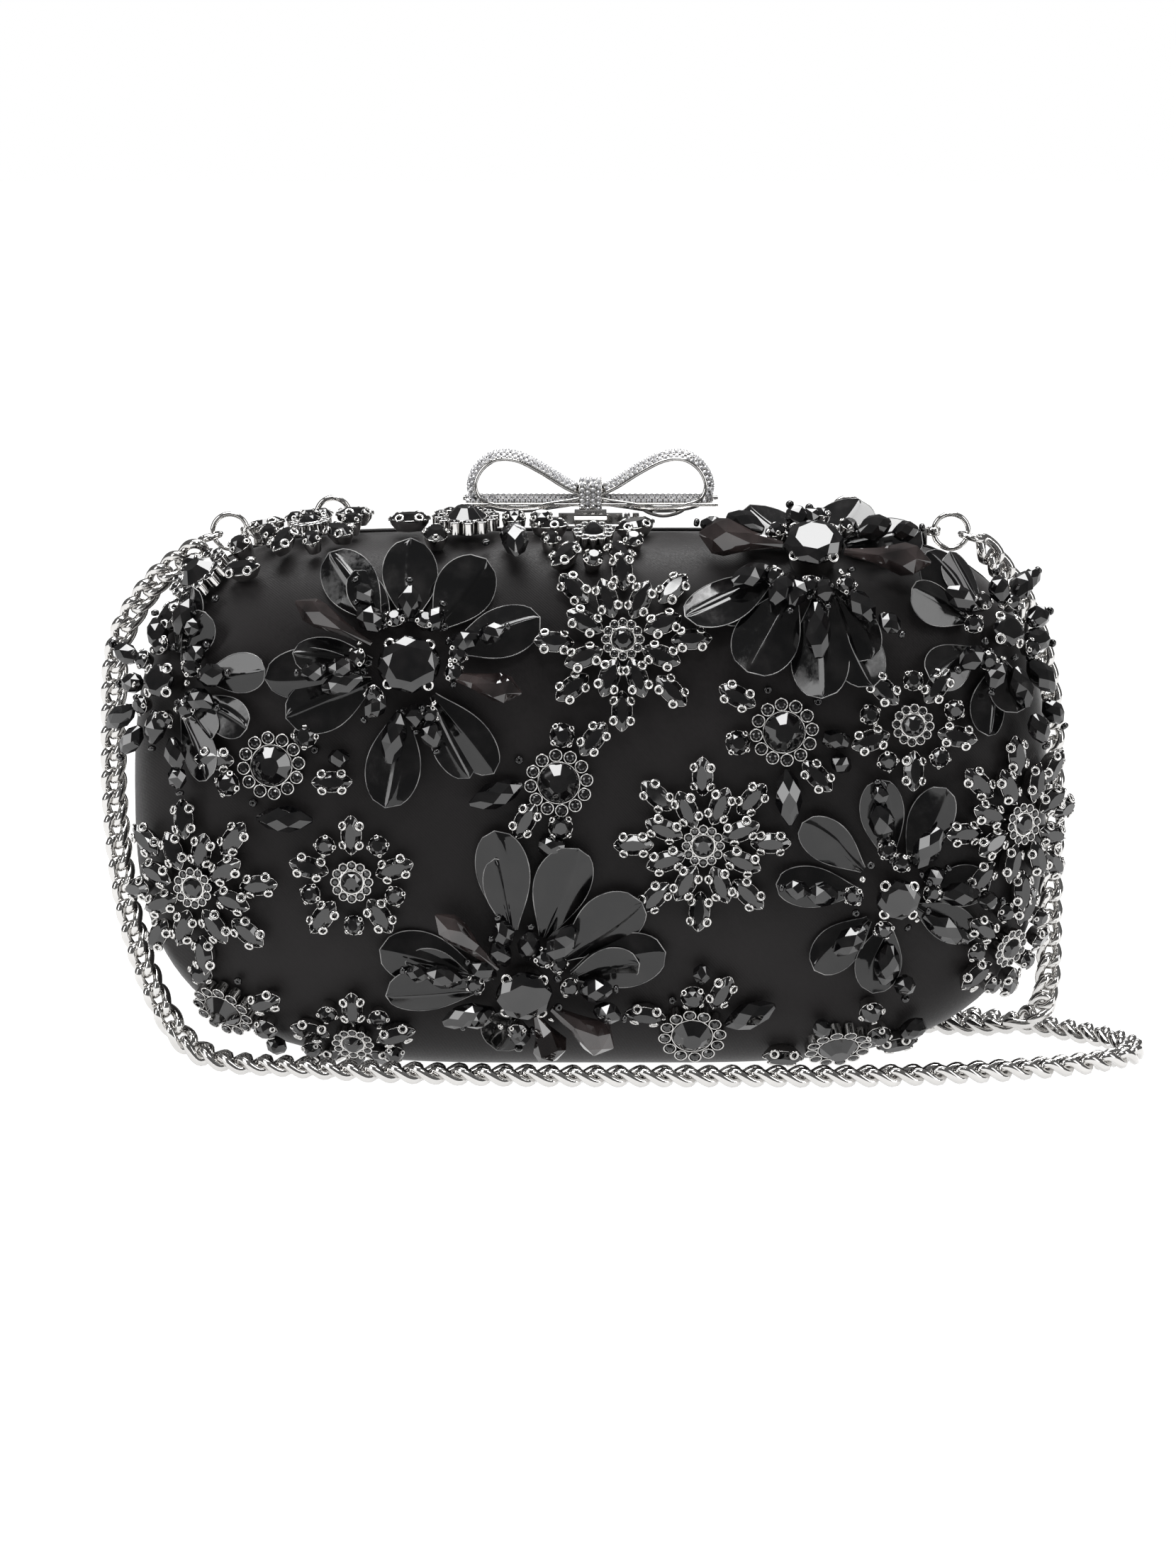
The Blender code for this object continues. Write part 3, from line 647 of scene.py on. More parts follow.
def camera():
    """The photograph's view."""
    data = bpy.data.cameras.new("camera")
    data.lens = CAMERA_LENS
    data.sensor_width = 36
    data.sensor_fit = "AUTO"
    obj = bpy.data.objects.new("camera", data)
    bpy.context.scene.collection.objects.link(obj)
    back = Vector((0, -math.cos(CAMERA_ELEVATION), math.sin(CAMERA_ELEVATION)))
    obj.location = CAMERA_TARGET + back * CAMERA_DISTANCE
    obj.rotation_euler = (-back).to_track_quat("-Z", "Y").to_euler()
    bpy.context.scene.camera = obj


def softbox(name, place, aim, size, power):
    """A rectangular studio light."""
    data = bpy.data.lights.new(name, "AREA")
    data.shape = "RECTANGLE"
    data.size, data.size_y = size
    data.energy = power
    obj = bpy.data.objects.new(name, data)
    bpy.context.scene.collection.objects.link(obj)
    obj.location = place
    obj.rotation_euler = (Vector(aim) - Vector(place)).to_track_quat("-Z", "Y").to_euler()
    obj.visible_camera = False


def world_light():
    """A white world for the eye; everything else sees a dim ceiling, a little brighter overhead."""
    world = bpy.data.worlds.new("studio")
    bpy.context.scene.world = world
    world.use_nodes = True
    tree = world.node_tree
    dim = tree.nodes["Background"]
    white = tree.nodes.new("ShaderNodeBackground")
    white.inputs["Color"].default_value = (1, 1, 1, 1)
    coordinates = tree.nodes.new("ShaderNodeTexCoord")
    split = tree.nodes.new("ShaderNodeSeparateXYZ")
    ramp = tree.nodes.new("ShaderNodeValToRGB")
    points = ramp.color_ramp.elements
    while len(points) < len(CEILING):
        points.new(0.5)
    for point, (place, value) in zip(points, CEILING):
        point.position = place
        point.color = (value, value, value, 1)
    ray = tree.nodes.new("ShaderNodeLightPath")
    choose = tree.nodes.new("ShaderNodeMixShader")
    tree.links.new(coordinates.outputs["Generated"], split.inputs["Vector"])
    tree.links.new(split.outputs["Z"], ramp.inputs["Fac"])
    tree.links.new(ramp.outputs["Color"], dim.inputs["Color"])
    tree.links.new(ray.outputs["Is Camera Ray"], choose.inputs["Fac"])
    tree.links.new(dim.outputs["Background"], choose.inputs[1])
    tree.links.new(white.outputs["Background"], choose.inputs[2])
    tree.links.new(choose.outputs["Shader"], tree.nodes["World Output"].inputs["Surface"])


def studio():
    """Soft lights, the world and the floor."""
    aim = (0, 0, 0.06)
    softbox("top_light", (-0.05, 0.07, 1.15), aim, (1.1, 0.56), 20.5)
    softbox("left_light", (-1.10, -0.75, 0.62), aim, (0.45, 1.0), 6.5)
    softbox("right_light", (1.15, -0.60, 0.55), aim, (0.40, 1.0), 5.0)
    softbox("front_light", (0.12, -0.95, 1.25), aim, (0.45, 0.16), 3.2)
    softbox("back_light", (0.30, 1.30, 0.90), aim, (0.80, 0.25), 3.0)
    world_light()
    left, right, near, far = FLOOR_EDGES
    mesh = bpy.data.meshes.new("floor")
    mesh.from_pydata([(left, near, 0), (right, near, 0), (right, far, 0), (left, far, 0)], [], [(0, 1, 2, 3)])
    mesh.materials.append(floor_material())
    floor = bpy.data.objects.new("floor", mesh)
    bpy.context.scene.collection.objects.link(floor)
    bpy.context.scene.view_settings.view_transform = "Standard"


# The chain


def smooth_route(points, step, closed=False):
    """Points at about a step apart along a smooth curve through the given ones."""
    count = len(points)
    dense = []
    for i in range(count if closed else count - 1):
        if closed:
            a, b, c, d = (points[(i + k) % count] for k in (-1, 0, 1, 2))
        else:
            a, b, c, d = (points[min(max(i + k, 0), count - 1)] for k in (-1, 0, 1, 2))
        for part in range(12):
            t = part / 12
            square, cube = (2 * a - 5 * b + 4 * c - d) * t**2, (3 * b - a - 3 * c + d) * t**3
            dense.append(0.5 * (2 * b + (c - a) * t + square + cube))
    dense.append(points[0] if closed else points[-1])
    lengths = [0.0]
    for before, after in zip(dense, dense[1:]):
        lengths.append(lengths[-1] + (after - before).length)
    pieces = max(2, round(lengths[-1] / step))
    route = []
    place = 0
    for index in range(pieces if closed else pieces + 1):
        target = lengths[-1] * index / pieces
        while place < len(lengths) - 2 and lengths[place + 1] < target:
            place += 1
        share = (target - lengths[place]) / max(lengths[place + 1] - lengths[place], 1e-9)
        route.append(dense[place].lerp(dense[place + 1], min(share, 1.0)))
    return route


def chain_route():
    """The chain's centre line: x, distance behind the parting plane and height, in millimetres."""
    floor = CHAIN_TUBE / 2 / MM + 0.02
    left = (
        (-87.2, -2.6, 111.6), (-94.6, -0.4, 106.4), (-103.4, 1.2, 92.0), (-105.0, 1.2, 72.0),
        (-104.5, -1.0, 52.0), (-101.0, -7.5, 31.5), (-94.0, -14.0, 13.5),
    )
    front = (
        (-85.0, -18.6, floor), (-71.0, -24.6, floor), (-47.0, -32.0, floor), (-12.0, -36.4, floor),
        (30.0, -36.9, floor), (66.0, -36.2, floor), (97.0, -28.6, floor), (115.0, -18.6, floor),
        (119.0, -7.0, floor), (112.6, 5.5, floor), (94.1, 20.6, floor), (72.0, 30.6, floor),
    )
    behind = (
        (35.0, 35.6, floor), (-10.0, 37.2, floor), (-40.0, 41.6, floor), (-57.0, 46.2, floor),
        (-68.6, 42.6, floor), (-70.0, 34.0, floor), (-60.0, 28.2, floor), (-20.0, 28.4, floor),
        (35.0, 27.0, floor), (68.0, 23.2, floor), (86.0, 15.9, floor), (97.0, 9.2, floor + 2.0),
    )
    right = (
        (101.9, 9.6, 11.0), (103.0, 14.2, 32.0), (103.5, 18.6, 56.0), (102.4, 17.6, 78.0),
        (96.6, 12.2, 98.0), (87.2, 4.0, 111.6),
    )
    points = left + front + behind + right
    return [Vector((x * MM, PARTING_Y + y * MM, z * MM)) for x, y, z in points]


def curb_link():
    """One link: an oval of round wire whose sides weave up and down, so that links lie flat in each other."""
    along, across = CURB_LENGTH / 2 - CURB_WIRE, CURB_WIDTH / 2 - CURB_WIRE
    path = []
    around, sides = 28, 8
    for i in range(around):
        s = TURN * i / around
        path.append(Vector((along * math.cos(s), across * math.sin(s), CURB_LIFT * math.sin(2 * s))))
    return Shape().add(*sweep(path, circle(CURB_WIRE, sides), [UP] * around, True), "silver")


def chain():
    """The curb chain along its route."""
    route = smooth_route(chain_route(), CURB_PITCH)
    lie = CURB_LIFT + CURB_WIRE + 0.1 * MM
    ups = []
    for point in route:
        on_floor = max(0.0, 1 - (point.z - CHAIN_TUBE / 2) / STRAND_FADE)
        facing = Vector((math.copysign(0.3, point.x), -1, 0)).normalized()
        ups.append((UP * on_floor + facing * (1 - on_floor)).normalized())
        if on_floor >= 1.0 or point.z < CHAIN_TUBE / 2:
            point.z = lie
    for _ in range(3):
        ups = [
            (ups[max(i - 1, 0)] + ups[i] * 2 + ups[min(i + 1, len(ups) - 1)]).normalized()
            for i in range(len(ups))
        ]
        heights = [point.z for point in route]
        for i in range(1, len(route) - 1):
            route[i].z = (heights[i - 1] + 2 * heights[i] + heights[i + 1]) / 4
    random_turn = random.Random(5)
    link = curb_link()
    shape = Shape()
    for i, point in enumerate(route):
        along = route[min(i + 1, len(route) - 1)] - route[max(i - 1, 0)]
        roll = spun(random_turn.uniform(-3, 3), "X")
        shape.put(link, basis(along, ups[i], point) @ roll, floor=0.05 * MM)
    obj = shape.make("curb_chain")
    lengths = sum((after - before).length for before, after in zip(route, route[1:]))
    return obj, route, lengths


def ring_centre(side):
    """The centre of a strap ring."""
    x = side * RING_X
    return Vector((x, RING_Y, edge_height(x) + RING_RISE))


def edge_height(x, offset=0.0):
    """The height of the body's upper edge at an x."""
    across = abs(x) / (BODY_HALF_WIDTH + offset)
    up = (1 - across**CROWN_POWER) ** (1 / HEIGHT_POWER)
    return BODY_CENTRE_Z + (BODY_HALF_HEIGHT + offset) * up


def end_link(name, side):
    """The chain's last link, through the ring."""
    out = Vector((side * 0.96, 0, -0.28)).normalized()
    centre = ring_centre(side) + out * (RING_RADIUS + LINK_OFFSET)
    axis = Vector((-out.z, 0, out.x))
    link = Shape().add(*torus(LINK_RADIUS, LINK_WIRE, 36, 12), "silver")
    shape = Shape().put(link, basis(out, axis, centre))
    obj = shape.make(f"end_link_{name}")
    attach(obj, f"ring_{name}")
    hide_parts(f"chain_end_{name}")
    return obj


def strap():
    """The chain with its two end links."""
    ends = [end_link("left", -1), end_link("right", 1)]
    obj, route, length = chain()
    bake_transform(obj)
    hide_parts("chain_strap")


# The two halves


def skin(name, outer, thickness, side, finish, body, replaced, ripple=0.0):
    """One layer of a half, with a rolled rim at the parting plane."""
    angles = outline_angles(SKIN_ROUND)
    first = math.asin((RIM / BODY_HALF_DEPTH) ** (DEPTH_POWER / 2))
    climbs = [first + (RIM_BEND - first) * i / 3 for i in range(3)]
    climbs += [RIM_BEND + (math.pi / 2 - RIM_BEND) * i / SKIN_CLIMB for i in range(SKIN_CLIMB)]
    rows = []
    for offset in (outer, outer - thickness):
        layer = []
        for climb in climbs:
            row = []
            for angle in angles:
                point = body_point(angle, climb, offset, side)
                if ripple and climb > RIM_BEND:
                    fold = noise.noise(point * 35) + 0.5 * noise.noise(point * 90)
                    point.y -= side * ripple * abs(fold)
                row.append(point)
            layer.append(row)
        rows.append(layer)
    outer_rows, inner_rows = list(reversed(rows[0])), rows[1]
    for row in (outer_rows[-1], inner_rows[0]):
        for point in row:
            point.y = PARTING_Y + side * RIM
    rolled = [
        a.lerp(b, 0.5) - Vector((0, side * 0.12 * MM, 0)) for a, b in zip(outer_rows[-1], inner_rows[0])
    ]
    pole, inner_pole = (
        [Vector((0, PARTING_Y + side * (BODY_HALF_DEPTH + offset), BODY_CENTRE_Z))] * len(angles)
        for offset in (outer, outer - thickness)
    )
    points, faces = band([pole] + outer_rows + [rolled] + inner_rows + [inner_pole])
    if side > 0:
        faces = [tuple(reversed(face)) for face in faces]
    obj = Shape().add(*merged(points, faces), finish).make(name)
    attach(obj, body)
    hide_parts(replaced)


def knuckle_spans(side):
    """The stretches of X that hold a half's knuckles: the rear has the odd ones."""
    length = KNUCKLE_LENGTH + GAP
    first = -KNUCKLE_COUNT * length / 2
    spans = []
    for index in range(KNUCKLE_COUNT):
        if (index % 2 == 0) == (side > 0):
            start = first + index * length + GAP / 2
            spans.append((start, start + KNUCKLE_LENGTH))
    return spans


def rod(low, high, radius, sides=24):
    """A round rod along X on the hinge's axis."""
    rows = [[(x, PARTING_Y + y, HINGE_Z + z) for y, z in circle(radius, sides)] for x in (low, high)]
    points, faces = band(rows)
    return points, faces + caps(sides, 2)


def cut(obj, points, faces, operation):
    """Join a solid to an object, or cut the object with it."""
    mesh = bpy.data.meshes.new("tool")
    mesh.from_pydata(points, [], faces)
    build = bmesh.new()
    build.from_mesh(mesh)
    bmesh.ops.recalc_face_normals(build, faces=build.faces)
    build.to_mesh(mesh)
    build.free()
    mesh.materials.append(FINISHES["silver"])
    tool = bpy.data.objects.new("tool", mesh)
    bpy.context.scene.collection.objects.link(tool)
    modifier = obj.modifiers.new("tool", "BOOLEAN")
    modifier.operation = operation
    modifier.solver = "EXACT"
    modifier.object = tool
    graph = bpy.context.evaluated_depsgraph_get()
    result = bpy.data.meshes.new_from_object(obj.evaluated_get(graph))
    obj.modifiers.clear()
    obj.data = result
    bpy.data.objects.remove(tool)


def frame_ring(half, side):
    """A half's polished metal frame with its hinge knuckles."""
    top, low = FRAME_OFFSET, FRAME_OFFSET - FRAME_HEIGHT
    profile = (
        (low, FRAME_NEAR), (top - 1.5 * MM, FRAME_NEAR), (top - 1.15 * MM, FRAME_NEAR + 0.06 * MM),
        (top - 0.72 * MM, FRAME_NEAR + 0.28 * MM), (top - 0.34 * MM, FRAME_NEAR + 0.62 * MM),
        (top - 0.10 * MM, FRAME_NEAR + 1.05 * MM), (top, FRAME_NEAR + 1.5 * MM),
        (top, FRAME_FAR), (low, FRAME_FAR),
    )
    rows = []
    for angle in outline_angles(FRAME_ROUND):
        row = []
        for offset, distance in profile:
            point = body_point(angle, 0.0, offset, side)
            point.y = PARTING_Y + side * distance
            row.append(point)
        rows.append(row)
    obj = Shape().add(*band(rows, True), "silver").make(f"{half}_frame_polished")
    build = bmesh.new()
    build.from_mesh(obj.data)
    bmesh.ops.recalc_face_normals(build, faces=build.faces)
    build.to_mesh(obj.data)
    build.free()
    for low_x, high_x in knuckle_spans(-side):
        cut(obj, *rod(low_x - GAP, high_x + GAP, KNUCKLE_RADIUS + GAP), "DIFFERENCE")
    for low_x, high_x in knuckle_spans(side):
        cut(obj, *rod(low_x, high_x, KNUCKLE_RADIUS), "UNION")
    reach = KNUCKLE_COUNT * KNUCKLE_LENGTH / 2 + 3 * MM
    cut(obj, *rod(-reach, reach, PIN_HOLE_RADIUS), "DIFFERENCE")
    obj.data.shade_smooth()
    obj.data.set_sharp_from_angle(angle=SHARP_METAL)
    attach(obj, f"{half}_half")
    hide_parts(f"{half}_frame")


def slip_pocket():
    """A flat pocket sewn to the rear lining along its sides and bottom, with a hemmed, stitched mouth."""
    half_width, low, high = 40 * MM, 36 * MM, 80 * MM
    offset = LINING_OFFSET - LINING_THICKNESS - 0.35 * MM
    across, up = 48, 30
    rows = []
    for layer in (0, 1):
        grid = []
        for j in range(up + 1):
            row = []
            for i in range(across + 1):
                x = -half_width + 2 * half_width * i / across
                z = low + (high - low) * j / up
                edge = min(1.0, min(i, across - i) / 7) * min(1.0, j / 6)
                swell = (1.1 + 1.3 * j / up) * MM * math.sin(edge * math.pi / 2)
                hem = 0.35 * MM if j > up - 3 else 0.0
                pucker = 0.12 * MM * noise.noise(Vector((x, 0, z)) * 120)
                y = surface_y(x, z, REAR, offset) - swell - pucker * edge
                row.append(Vector((x, y + (0.35 * MM if layer else -hem), z)))
            grid.append(row)
        rows.append(grid)
    shape = Shape()
    front, back = rows
    points, faces = band(front, False, False)
    shape.add(points, [tuple(reversed(face)) for face in faces], "lining")
    shape.add(*band(back, False, False), "lining")
    shape.add(*band([rim(front), rim(back)]), "lining")
    stitch = stitch_shape(1.5 * MM, 0.11 * MM)
    for column in range(2, across - 1):
        place = front[up - 3][column]
        shape.put(stitch, basis(RIGHT, -BACK, place + Vector((0, -0.05 * MM, 0))))
    for row in range(1, up):
        for column in (1, across - 1):
            place = front[row][column]
            shape.put(stitch, basis(UP, -BACK, place + Vector((0, -0.05 * MM, 0))))
    obj = shape.make("slip_pocket_sewn")
    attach(obj, "rear_half")
    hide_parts("slip_pocket")


def stitch_shape(length, thickness):
    """One thread stitch along X that dips at both ends."""
    path = [
        Vector((length * (t - 0.5) * 0.8, 0, thickness * 1.6 * math.sin(math.pi * t) - 0.4 * thickness))
        for t in (0, 0.2, 0.5, 0.8, 1)
    ]
    return Shape().add(*sweep(path, circle(thickness, 6), [UP] * len(path)), "lining")


def halves():
    """Covers, shells, linings, frames and the pocket."""
    for half, side in (("front", FRONT), ("rear", REAR)):
        body = f"{half}_half"
        skin(f"{half}_satin", 0.0, COVER_THICKNESS, side, "satin", body, f"{half}_cover")
        skin(f"{half}_board", SHELL_OFFSET, SHELL_THICKNESS, side, "board", body, f"{half}_shell")
        skin(
            f"{half}_inside", LINING_OFFSET, LINING_THICKNESS, side, "lining", body,
            f"{half}_lining", 0.25 * MM,
        )
        frame_ring(half, side)
    slip_pocket()


# The bow and the small hardware


def small_stone(radius, height, finish, sides=8):
    """A little cut stone: girdle, crown and table."""
    cuts = ((0.9, -0.35, 0.0), (1.0, 0.1, 0.0), (0.8, 0.62, 0.5), (0.5, 1.0, 0.0))
    return facets([ring_of(radius * reach, height * z, sides, phase) for reach, z, phase in cuts], finish)


def ring_of(radius, z, sides, phase=0.0, flatten=1.0):
    """A level ring of points, turned by a share of a side."""
    turn = TURN / sides
    return phase, [
        (radius * math.cos((j + phase) * turn), flatten * radius * math.sin((j + phase) * turn), z)
        for j in range(sides)
    ]


def facets(rings, finish):
    """A cut solid: flat facets between rings that may be turned by half a side, closed at both ends."""
    size = len(rings[0][1])
    points = [point for _, ring in rings for point in ring]
    faces = []
    for i in range(len(rings) - 1):
        here, after = i * size, (i + 1) * size
        twist = rings[i + 1][0] - rings[i][0]
        for j in range(size):
            k = (j + 1) % size
            if twist == 0:
                faces.append((here + j, here + k, after + k, after + j))
            elif twist > 0:
                faces += [(here + j, here + k, after + j), (here + k, after + k, after + j)]
            else:
                faces += [(here + j, here + k, after + k), (here + j, after + k, after + j)]
    faces += caps(size, len(rings))
    return Shape().add(points, faces, finish, False)


def bow_loop_path(side, step):
    """The centre line of one loop of the bow: a teardrop that starts at the knot."""
    corners = (
        (0.5, 124.0), (5.5, 126.6), (11.0, 130.0), (16.0, 132.4), (20.5, 132.6), (24.0, 130.3),
        (25.6, 126.6), (24.4, 123.2), (20.0, 121.7), (14.0, 121.4), (8.0, 122.2), (3.0, 123.0),
    )
    return smooth_route([Vector((side * x * MM, BOW_Y, z * MM)) for x, z in corners], step, True)


def pave(shape, places, radius):
    """Crystals set at (point, outward, along) places, with grains of silver between them."""
    stone = small_stone(radius, radius * 0.85, "crystal")
    grain = Shape().add(*ball(radius * 0.3, 6, 4), "silver")
    for point, outward, along in places:
        matrix = basis(along, outward, point)
        shape.put(stone, matrix)
        for x in (-1, 1):
            shape.put(grain, matrix @ moved(x * radius * 0.95, radius * 0.95, radius * 0.25))


def outward(path, i, centre):
    """The direction along a closed path at a point, and the one that leads out of it, seen along one axis."""
    along = (path[(i + 1) % len(path)] - path[i - 1]).normalized()
    out = Vector((along.z, 0, -along.x)) if abs(along.y) < 1e-6 else Vector((0, along.z, -along.y))
    return along, out if out.dot(path[i] - centre) > 0 else -out


BEVEL = ((-1.95, -0.12), (-0.55, 1.0))


def ribbon(low, high, rows, closed):
    """A ribbon between two distances from its path: a polished bar in front, a bevel and a flat outside."""
    bar = 0.44 * MM
    back = BOW_HALF_DEPTH
    front = [
        (-back + bar + bar * math.cos(math.radians(angle)), low + bar + bar * math.sin(math.radians(angle)))
        for angle in (285, 250, 215, 180, 145, 110, 75)
    ]
    bevel = [(depth * MM, rise * high) for depth, rise in BEVEL]
    chamfer = 0.3 * MM
    rear = [(back - chamfer, high), (back, high - chamfer), (back, low + chamfer), (back - chamfer, low)]
    profile = front + bevel + rear
    layers = [[point + BACK * y + out * u for y, u in profile] for point, out in rows]
    points, faces = band(layers, closed)
    if not closed:
        faces += caps(len(profile), len(rows))
    return points, faces


def ribbon_stones(point, out, along, high):
    """The places of the crystals across a ribbon: two rows on the bevel and two outside."""
    (near, low), (far, top) = BEVEL
    lean = Vector((0, -(top - low) * high / MM, 0)) + out * (far - near)
    places = []
    for row, share in enumerate((0.26, 0.84)):
        spot = Vector((0, (near + (far - near) * share) * MM, 0)) + out * (low + (top - low) * share) * high
        places.append((point + spot + along * PAVE_PITCH * 0.5 * (row % 2), lean.normalized(), along))
    for row, y in enumerate((0.45 * MM, 1.55 * MM)):
        places.append((point + BACK * y + out * high + along * PAVE_PITCH * 0.5 * (row % 2), out, along))
    return places


def bow():
    """Both loops, both tails and the knot, in polished metal set with crystals."""
    shape = Shape()
    low, high = -BOW_THICKNESS * 0.56, BOW_THICKNESS * 0.56
    for side in (-1, 1):
        path = bow_loop_path(side, 0.7 * MM)
        middle = sum(path, Vector()) / len(path)
        rows = [(point, outward(path, i, middle)[1]) for i, point in enumerate(path)]
        points, faces = ribbon(low, high, rows, True)
        shape.add(points, faces if side < 0 else [tuple(reversed(face)) for face in faces], "silver")
        stones = bow_loop_path(side, PAVE_PITCH)
        for i, point in enumerate(stones):
            along, out = outward(stones, i, middle)
            if abs(point.x) > KNOT_HALF_WIDTH + 0.8 * MM and out.z > -0.4:
                pave(shape, ribbon_stones(point, out, along, high), PAVE_RADIUS)
    tail = [(Vector((TAIL_HALF_LENGTH * t, BOW_Y, TAIL_Z)), UP) for t in (-1, -0.985, -0.5, 0, 0.5, 0.985, 1)]
    tail_low, tail_high = -TAIL_THICKNESS * 0.5, TAIL_THICKNESS * 0.42
    shape.add(*ribbon(tail_low, tail_high, tail, False), "silver")
    for i in range(int(2 * (TAIL_HALF_LENGTH - 1 * MM) / PAVE_PITCH)):
        x = -TAIL_HALF_LENGTH + 1.0 * MM + i * PAVE_PITCH
        if abs(x) > KNOT_HALF_WIDTH + 0.6 * MM:
            pave(shape, ribbon_stones(Vector((x, BOW_Y, TAIL_Z)), UP, RIGHT, tail_high), PAVE_RADIUS)
    # The loop's lower turn shows as a fine arc under the right tail
    arc = [
        Vector((x * MM, BOW_Y - 0.6 * MM, z * MM))
        for x, z in (
            (10.8, 122.0), (11.8, 120.9), (13.6, 120.1), (15.9, 119.7), (18.3, 120.1), (20.1, 120.9),
            (21.0, 122.0),
        )
    ]
    arc = smooth_route(arc, 0.5 * MM)
    shape.add(*sweep(arc, circle(0.35 * MM, 8), [BACK] * len(arc)), "silver")
    obj = shape.make("bow_pave")
    obj.data.set_sharp_from_angle(angle=SHARP_BOW)
    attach(obj, "bow_clasp")
    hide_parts("bow_ribbon")

    knot = Shape()
    centre = Vector((0, BOW_Y, BOW_BOTTOM_Z + KNOT_HEIGHT / 2))
    depth = 2 * (BOW_HALF_DEPTH + 0.75 * MM)
    outline = rounded_profile(depth, KNOT_HEIGHT - 0.5 * MM, 1.3 * MM, 6)
    ring = [centre + Vector((0, y, z)) for y, z in outline]
    outs = [outward(ring, i, centre)[1] for i in range(len(ring))]
    knot.add(*sweep(ring, rounded_profile(2 * KNOT_HALF_WIDTH, 0.5 * MM, 0.22 * MM), outs, True), "silver")
    around = smooth_route(ring, PAVE_PITCH, True)
    places = []
    for i, point in enumerate(around):
        along, out = outward(around, i, centre)
        for row, x in enumerate((-1.8, -0.6, 0.6, 1.8)):
            if out.z > -0.5:
                shift = out * 0.2 * MM + along * PAVE_PITCH * 0.5 * (row % 2) + RIGHT * x * MM
                places.append((point + shift, out, along))
    pave(knot, places, 0.56 * MM)
    obj = knot.make("knot_pave")
    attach(obj, "bow_clasp")
    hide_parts("bow_knot")


def hardware():
    """Rings, lugs and spare loops, and the finishes of the small CAD pieces that stay."""
    for name, side in (("left", -1), ("right", 1)):
        centre = ring_centre(side)
        ring = Shape().put(
            Shape().add(*torus(RING_RADIUS, RING_WIRE * WIRE_SHARE, 48, 14), "silver"),
            basis(RIGHT, BACK, centre),
        )
        obj = ring.make(f"ring_{name}_polished")
        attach(obj, f"ring_{name}")
        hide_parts(f"strap_ring_{name}")

        pivot = centre - Vector((side * RING_RADIUS, 0, 0))
        half = LUG_HEIGHT / 2
        outline = (
            (LUG_HOLE_RADIUS, -half + 0.15 * MM), (LUG_HOLE_RADIUS + 0.15 * MM, -half),
            (LUG_RADIUS - 0.2 * MM, -half), (LUG_RADIUS, -half + 0.25 * MM),
            (LUG_RADIUS, half - 0.25 * MM), (LUG_RADIUS - 0.2 * MM, half),
            (LUG_HOLE_RADIUS + 0.15 * MM, half), (LUG_HOLE_RADIUS, half - 0.15 * MM),
        )
        rows = [[(x, y, z) for x, y in circle(reach, 28)] for reach, z in outline]
        lug = Shape().put(Shape().add(*band(rows, True), "silver"), moved(*pivot))
        far = pivot.x - side * 3.3 * MM
        near = pivot.x - side * 1.4 * MM
        foot_low = edge_height(far, FRAME_OFFSET) + GAP
        foot_high = pivot.z + half - 0.1 * MM
        heights = (foot_low, foot_low + 0.1 * MM, foot_high - 0.2 * MM, foot_high)
        stem = [Vector(((near + far) / 2, pivot.y, z)) for z in heights]
        lug.add(*sweep(stem, rounded_profile(1.9 * MM, 1.9 * MM, 0.3 * MM), [BACK] * 4), "silver")
        obj = lug.make(f"lug_{name}_polished")
        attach(obj, "rear_half")
        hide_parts(f"strap_lug_{name}")

        x = side * SPARE_LOOP_X
        rise = SPARE_LOOP_RADIUS + SPARE_LOOP_WIRE + GAP + 0.3 * MM
        loop = Shape().put(
            Shape().add(*torus(SPARE_LOOP_RADIUS, SPARE_LOOP_WIRE * 1.12, 48, 12), "silver"),
            basis(RIGHT, BACK, Vector((x, RING_Y, edge_height(x, FRAME_OFFSET) + rise))),
        )
        seat = edge_height(x, FRAME_OFFSET) + GAP
        foot = [Vector((x, RING_Y, seat + z * MM)) for z in (0, 0.1, 0.6, 0.7)]
        loop.add(*sweep(foot, rounded_profile(1.5 * MM, 1.5 * MM, 0.3 * MM), [BACK] * 4), "silver")
        obj = loop.make(f"spare_loop_{name}_polished")
        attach(obj, "rear_half")
        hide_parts(f"spare_loop_{name}")
    finishes = {
        "hinge_pin": "steel", "clasp_pin": "steel", "clasp_spring": "steel",
        "clasp_base": "silver", "clasp_lever": "silver", "catch_block": "silver",
    }
    for node, finish in finishes.items():
        obj = bpy.data.objects[node]
        obj.data.materials.clear()
        obj.data.materials.append(FINISHES[finish])


# Stones, beads and petals, each with Z out of the bag and X away from its flower's centre


def setting(outline, top, depth, wire=0.15 * MM):
    """A silver cup that widens up to an outline, with a wire rim."""
    rows = [
        [(x * grow, y * grow, z) for x, y in outline]
        for grow, z in ((0.66, top - depth), (0.93, top - 0.4 * depth), (0.99, top))
    ]
    shape = Shape().add(*band(rows), "silver")
    path = [Vector((x * 0.99, y * 0.99, top)) for x, y in outline]
    return shape.add(*sweep(path, circle(wire, 5), [UP] * len(path), True), "silver")


